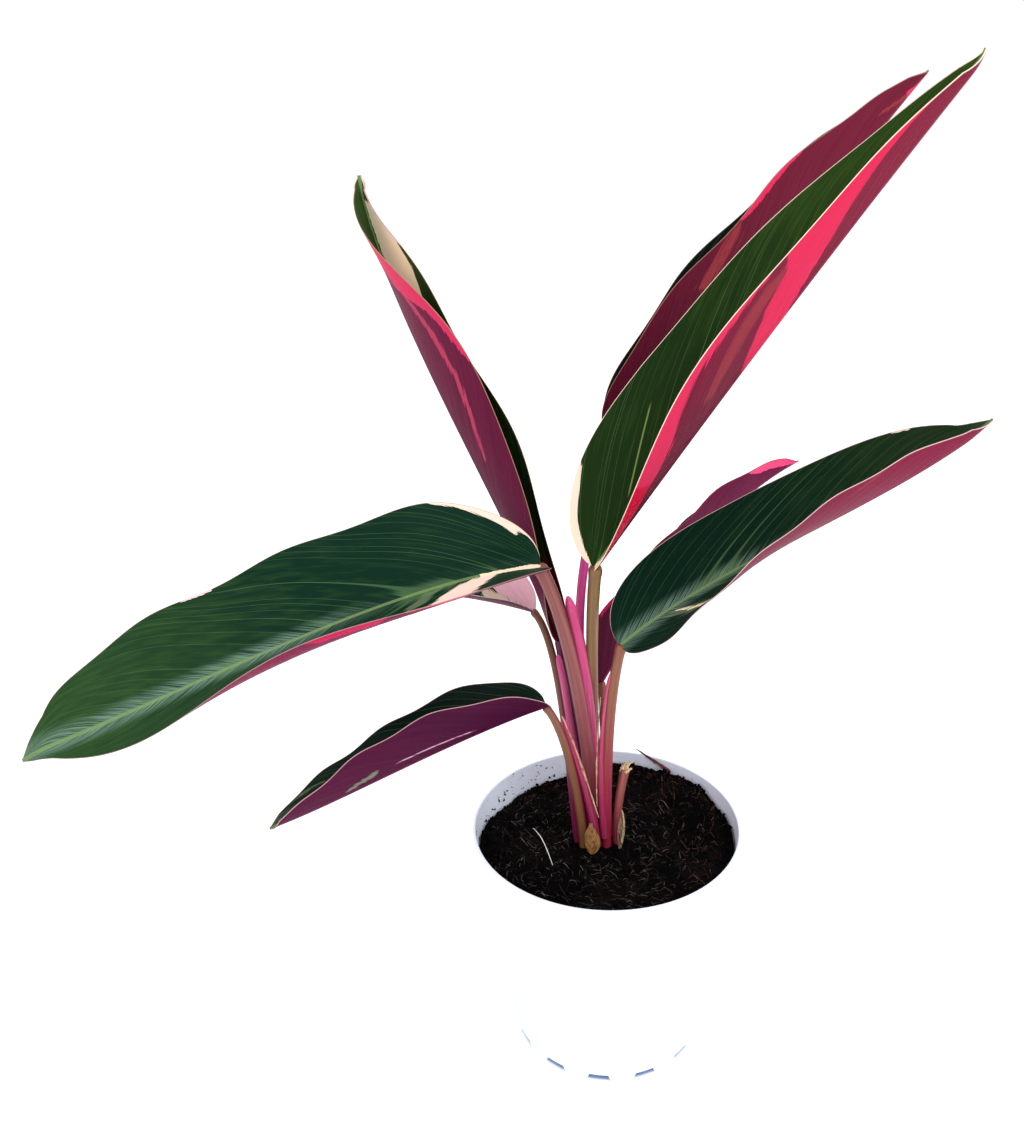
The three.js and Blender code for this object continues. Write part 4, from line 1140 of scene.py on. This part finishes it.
def paper_material(name, tones):
    """Dry papery plant skin with ribs along it."""
    material, tree, shader = new_material(name, 0.2)
    ribs = grain(attribute(tree, "lie", "Vector"), (1.3, 1.3, 0.18), 4)
    blots = grain(attribute(tree, "lie", "Vector"), (0.4, 0.4, 0.3), 3)
    colour = blend(ramp(ribs, 0.3, 0.7), ink(*tones[0]), ink(*tones[1]))
    colour = blend(ramp(blots, 0.5, 0.65, 0, 0.8), colour, ink(*tones[2]))
    dress(shader, colour, 0.7, ribs, 0.35)
    return material


dry_paper = paper_material("dry_paper", ((176, 124, 96), (226, 190, 156), (150, 92, 70)))
for name, ribbon in DRY_EDGES.items():
    width = ribbon["width"]
    edge = rod("dry_edge_" + name, ribbon["path"],
               lambda t: width * (0.3 + 0.7 * np.sin(np.pi * np.clip(t, 0.04, 0.96)) ** 0.6), 120, 12,
               lambda angle, t: (0.28 + 0.72 * np.abs(np.cos(angle + 2.4 * np.sin(5 * t))) ** 1.5)
               * (1 + 0.25 * np.sin(47 * t) * np.sin(23 * t)))
    edge.data.materials.append(dry_paper)
    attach(edge, "root")

# ------------------------------------------------------------------------------ stub and bracts
# The cut-off stalk of an old leaf, with a dry split end, stands at the right of the clump. Two
# papery scales wrap the clump's foot: a brown one in front and a curled cream one at the right.

STUB_PATH = [(5, -0.5, STALK_FOOT), (4.5, -1, 110), (6, 1, 124), (8.8, 3, 134)]
STUB_LOW, STUB_HIGH = 1.7, 2.1  # its radii at the foot and at the cut

stub = rod("cut_stalk_stub", STUB_PATH, lambda t: STUB_LOW + (STUB_HIGH - STUB_LOW) * t, 60, 20,
           lambda angle, t: 1 + 0.05 * np.cos(3 * angle) + 0.16 * t ** 8 * np.sin(5 * angle))
stub.data.materials.append(stem_material("stub_skin", (140, 40, 62), (160, 84, 78),
                                         (88, 36, 40), (206, 150, 120), STUB_HIGH))
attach(stub, "root")
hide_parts("cut_stub")

split_paper = paper_material("split_paper", ((206, 168, 128), (244, 224, 186), (150, 104, 76)))
SPLITS = {
    "front": [(8.5, 1.8, 132.6), (9.1, 1.5, 134.4), (10.6, 1.2, 136.2), (11.8, 1.4, 136.0)],
    "back": [(8.9, 4.2, 133.2), (9.6, 4.8, 135.6), (11, 5, 137.6), (12.6, 4.6, 137.2)],
    "left": [(7.2, 3.2, 133.4), (7.4, 3.4, 135.4), (8.4, 3.4, 137.2), (9.4, 3.2, 138.4)],
}
for name, path in SPLITS.items():
    split = rod("split_end_" + name, path, lambda t: 0.95 - 0.55 * t, 24, 12,
                lambda angle, t: (0.35 + 0.65 * np.abs(np.cos(angle + 1.2 * t)))
                * (1 + 0.2 * np.sin(31 * t)))
    split.data.materials.append(split_paper)
    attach(split, "root")

BRACTS = {
    "bract_front": dict(
        midrib=[(-6, -9.5, 98.5), (-6, -11, 104), (-6.5, -12, 110), (-6.3, -11.5, 116)],
        half_widths=(4, 4), widest=0.4, fullness=1.6, point=1, folds=((20, 20, 20), (20, 20, 20)),
        curls=((20, 20, 10), (20, 20, 10)), tones=((140, 92, 50), (196, 148, 92), (104, 62, 36))),
    "bract_right": dict(
        midrib=[(5.8, -5, 98.5), (8, -6.3, 104), (9, -5, 112), (7, -4.6, 118)],
        half_widths=(3, 3), widest=0.5, fullness=2.2, point=1, folds=((10, 20, 10), (10, 20, 10)),
        curls=((30, 50, 30), (30, 50, 30)), tones=((120, 84, 56), (222, 198, 158), (84, 54, 38))),
}
for name, bract in BRACTS.items():
    ruffled = {**PLAIN_LEAF, **bract, "waves": ((0.5, 3, 0), (0.5, 3, 0.4)), "patches": []}
    scale = make_blade("papery_" + name, ruffled, along=60, across=16, thickness=0.6)
    scale.data.materials[0] = scale.data.materials[1] = paper_material(name, bract["tones"])
    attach(scale, "root")
    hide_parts(name)
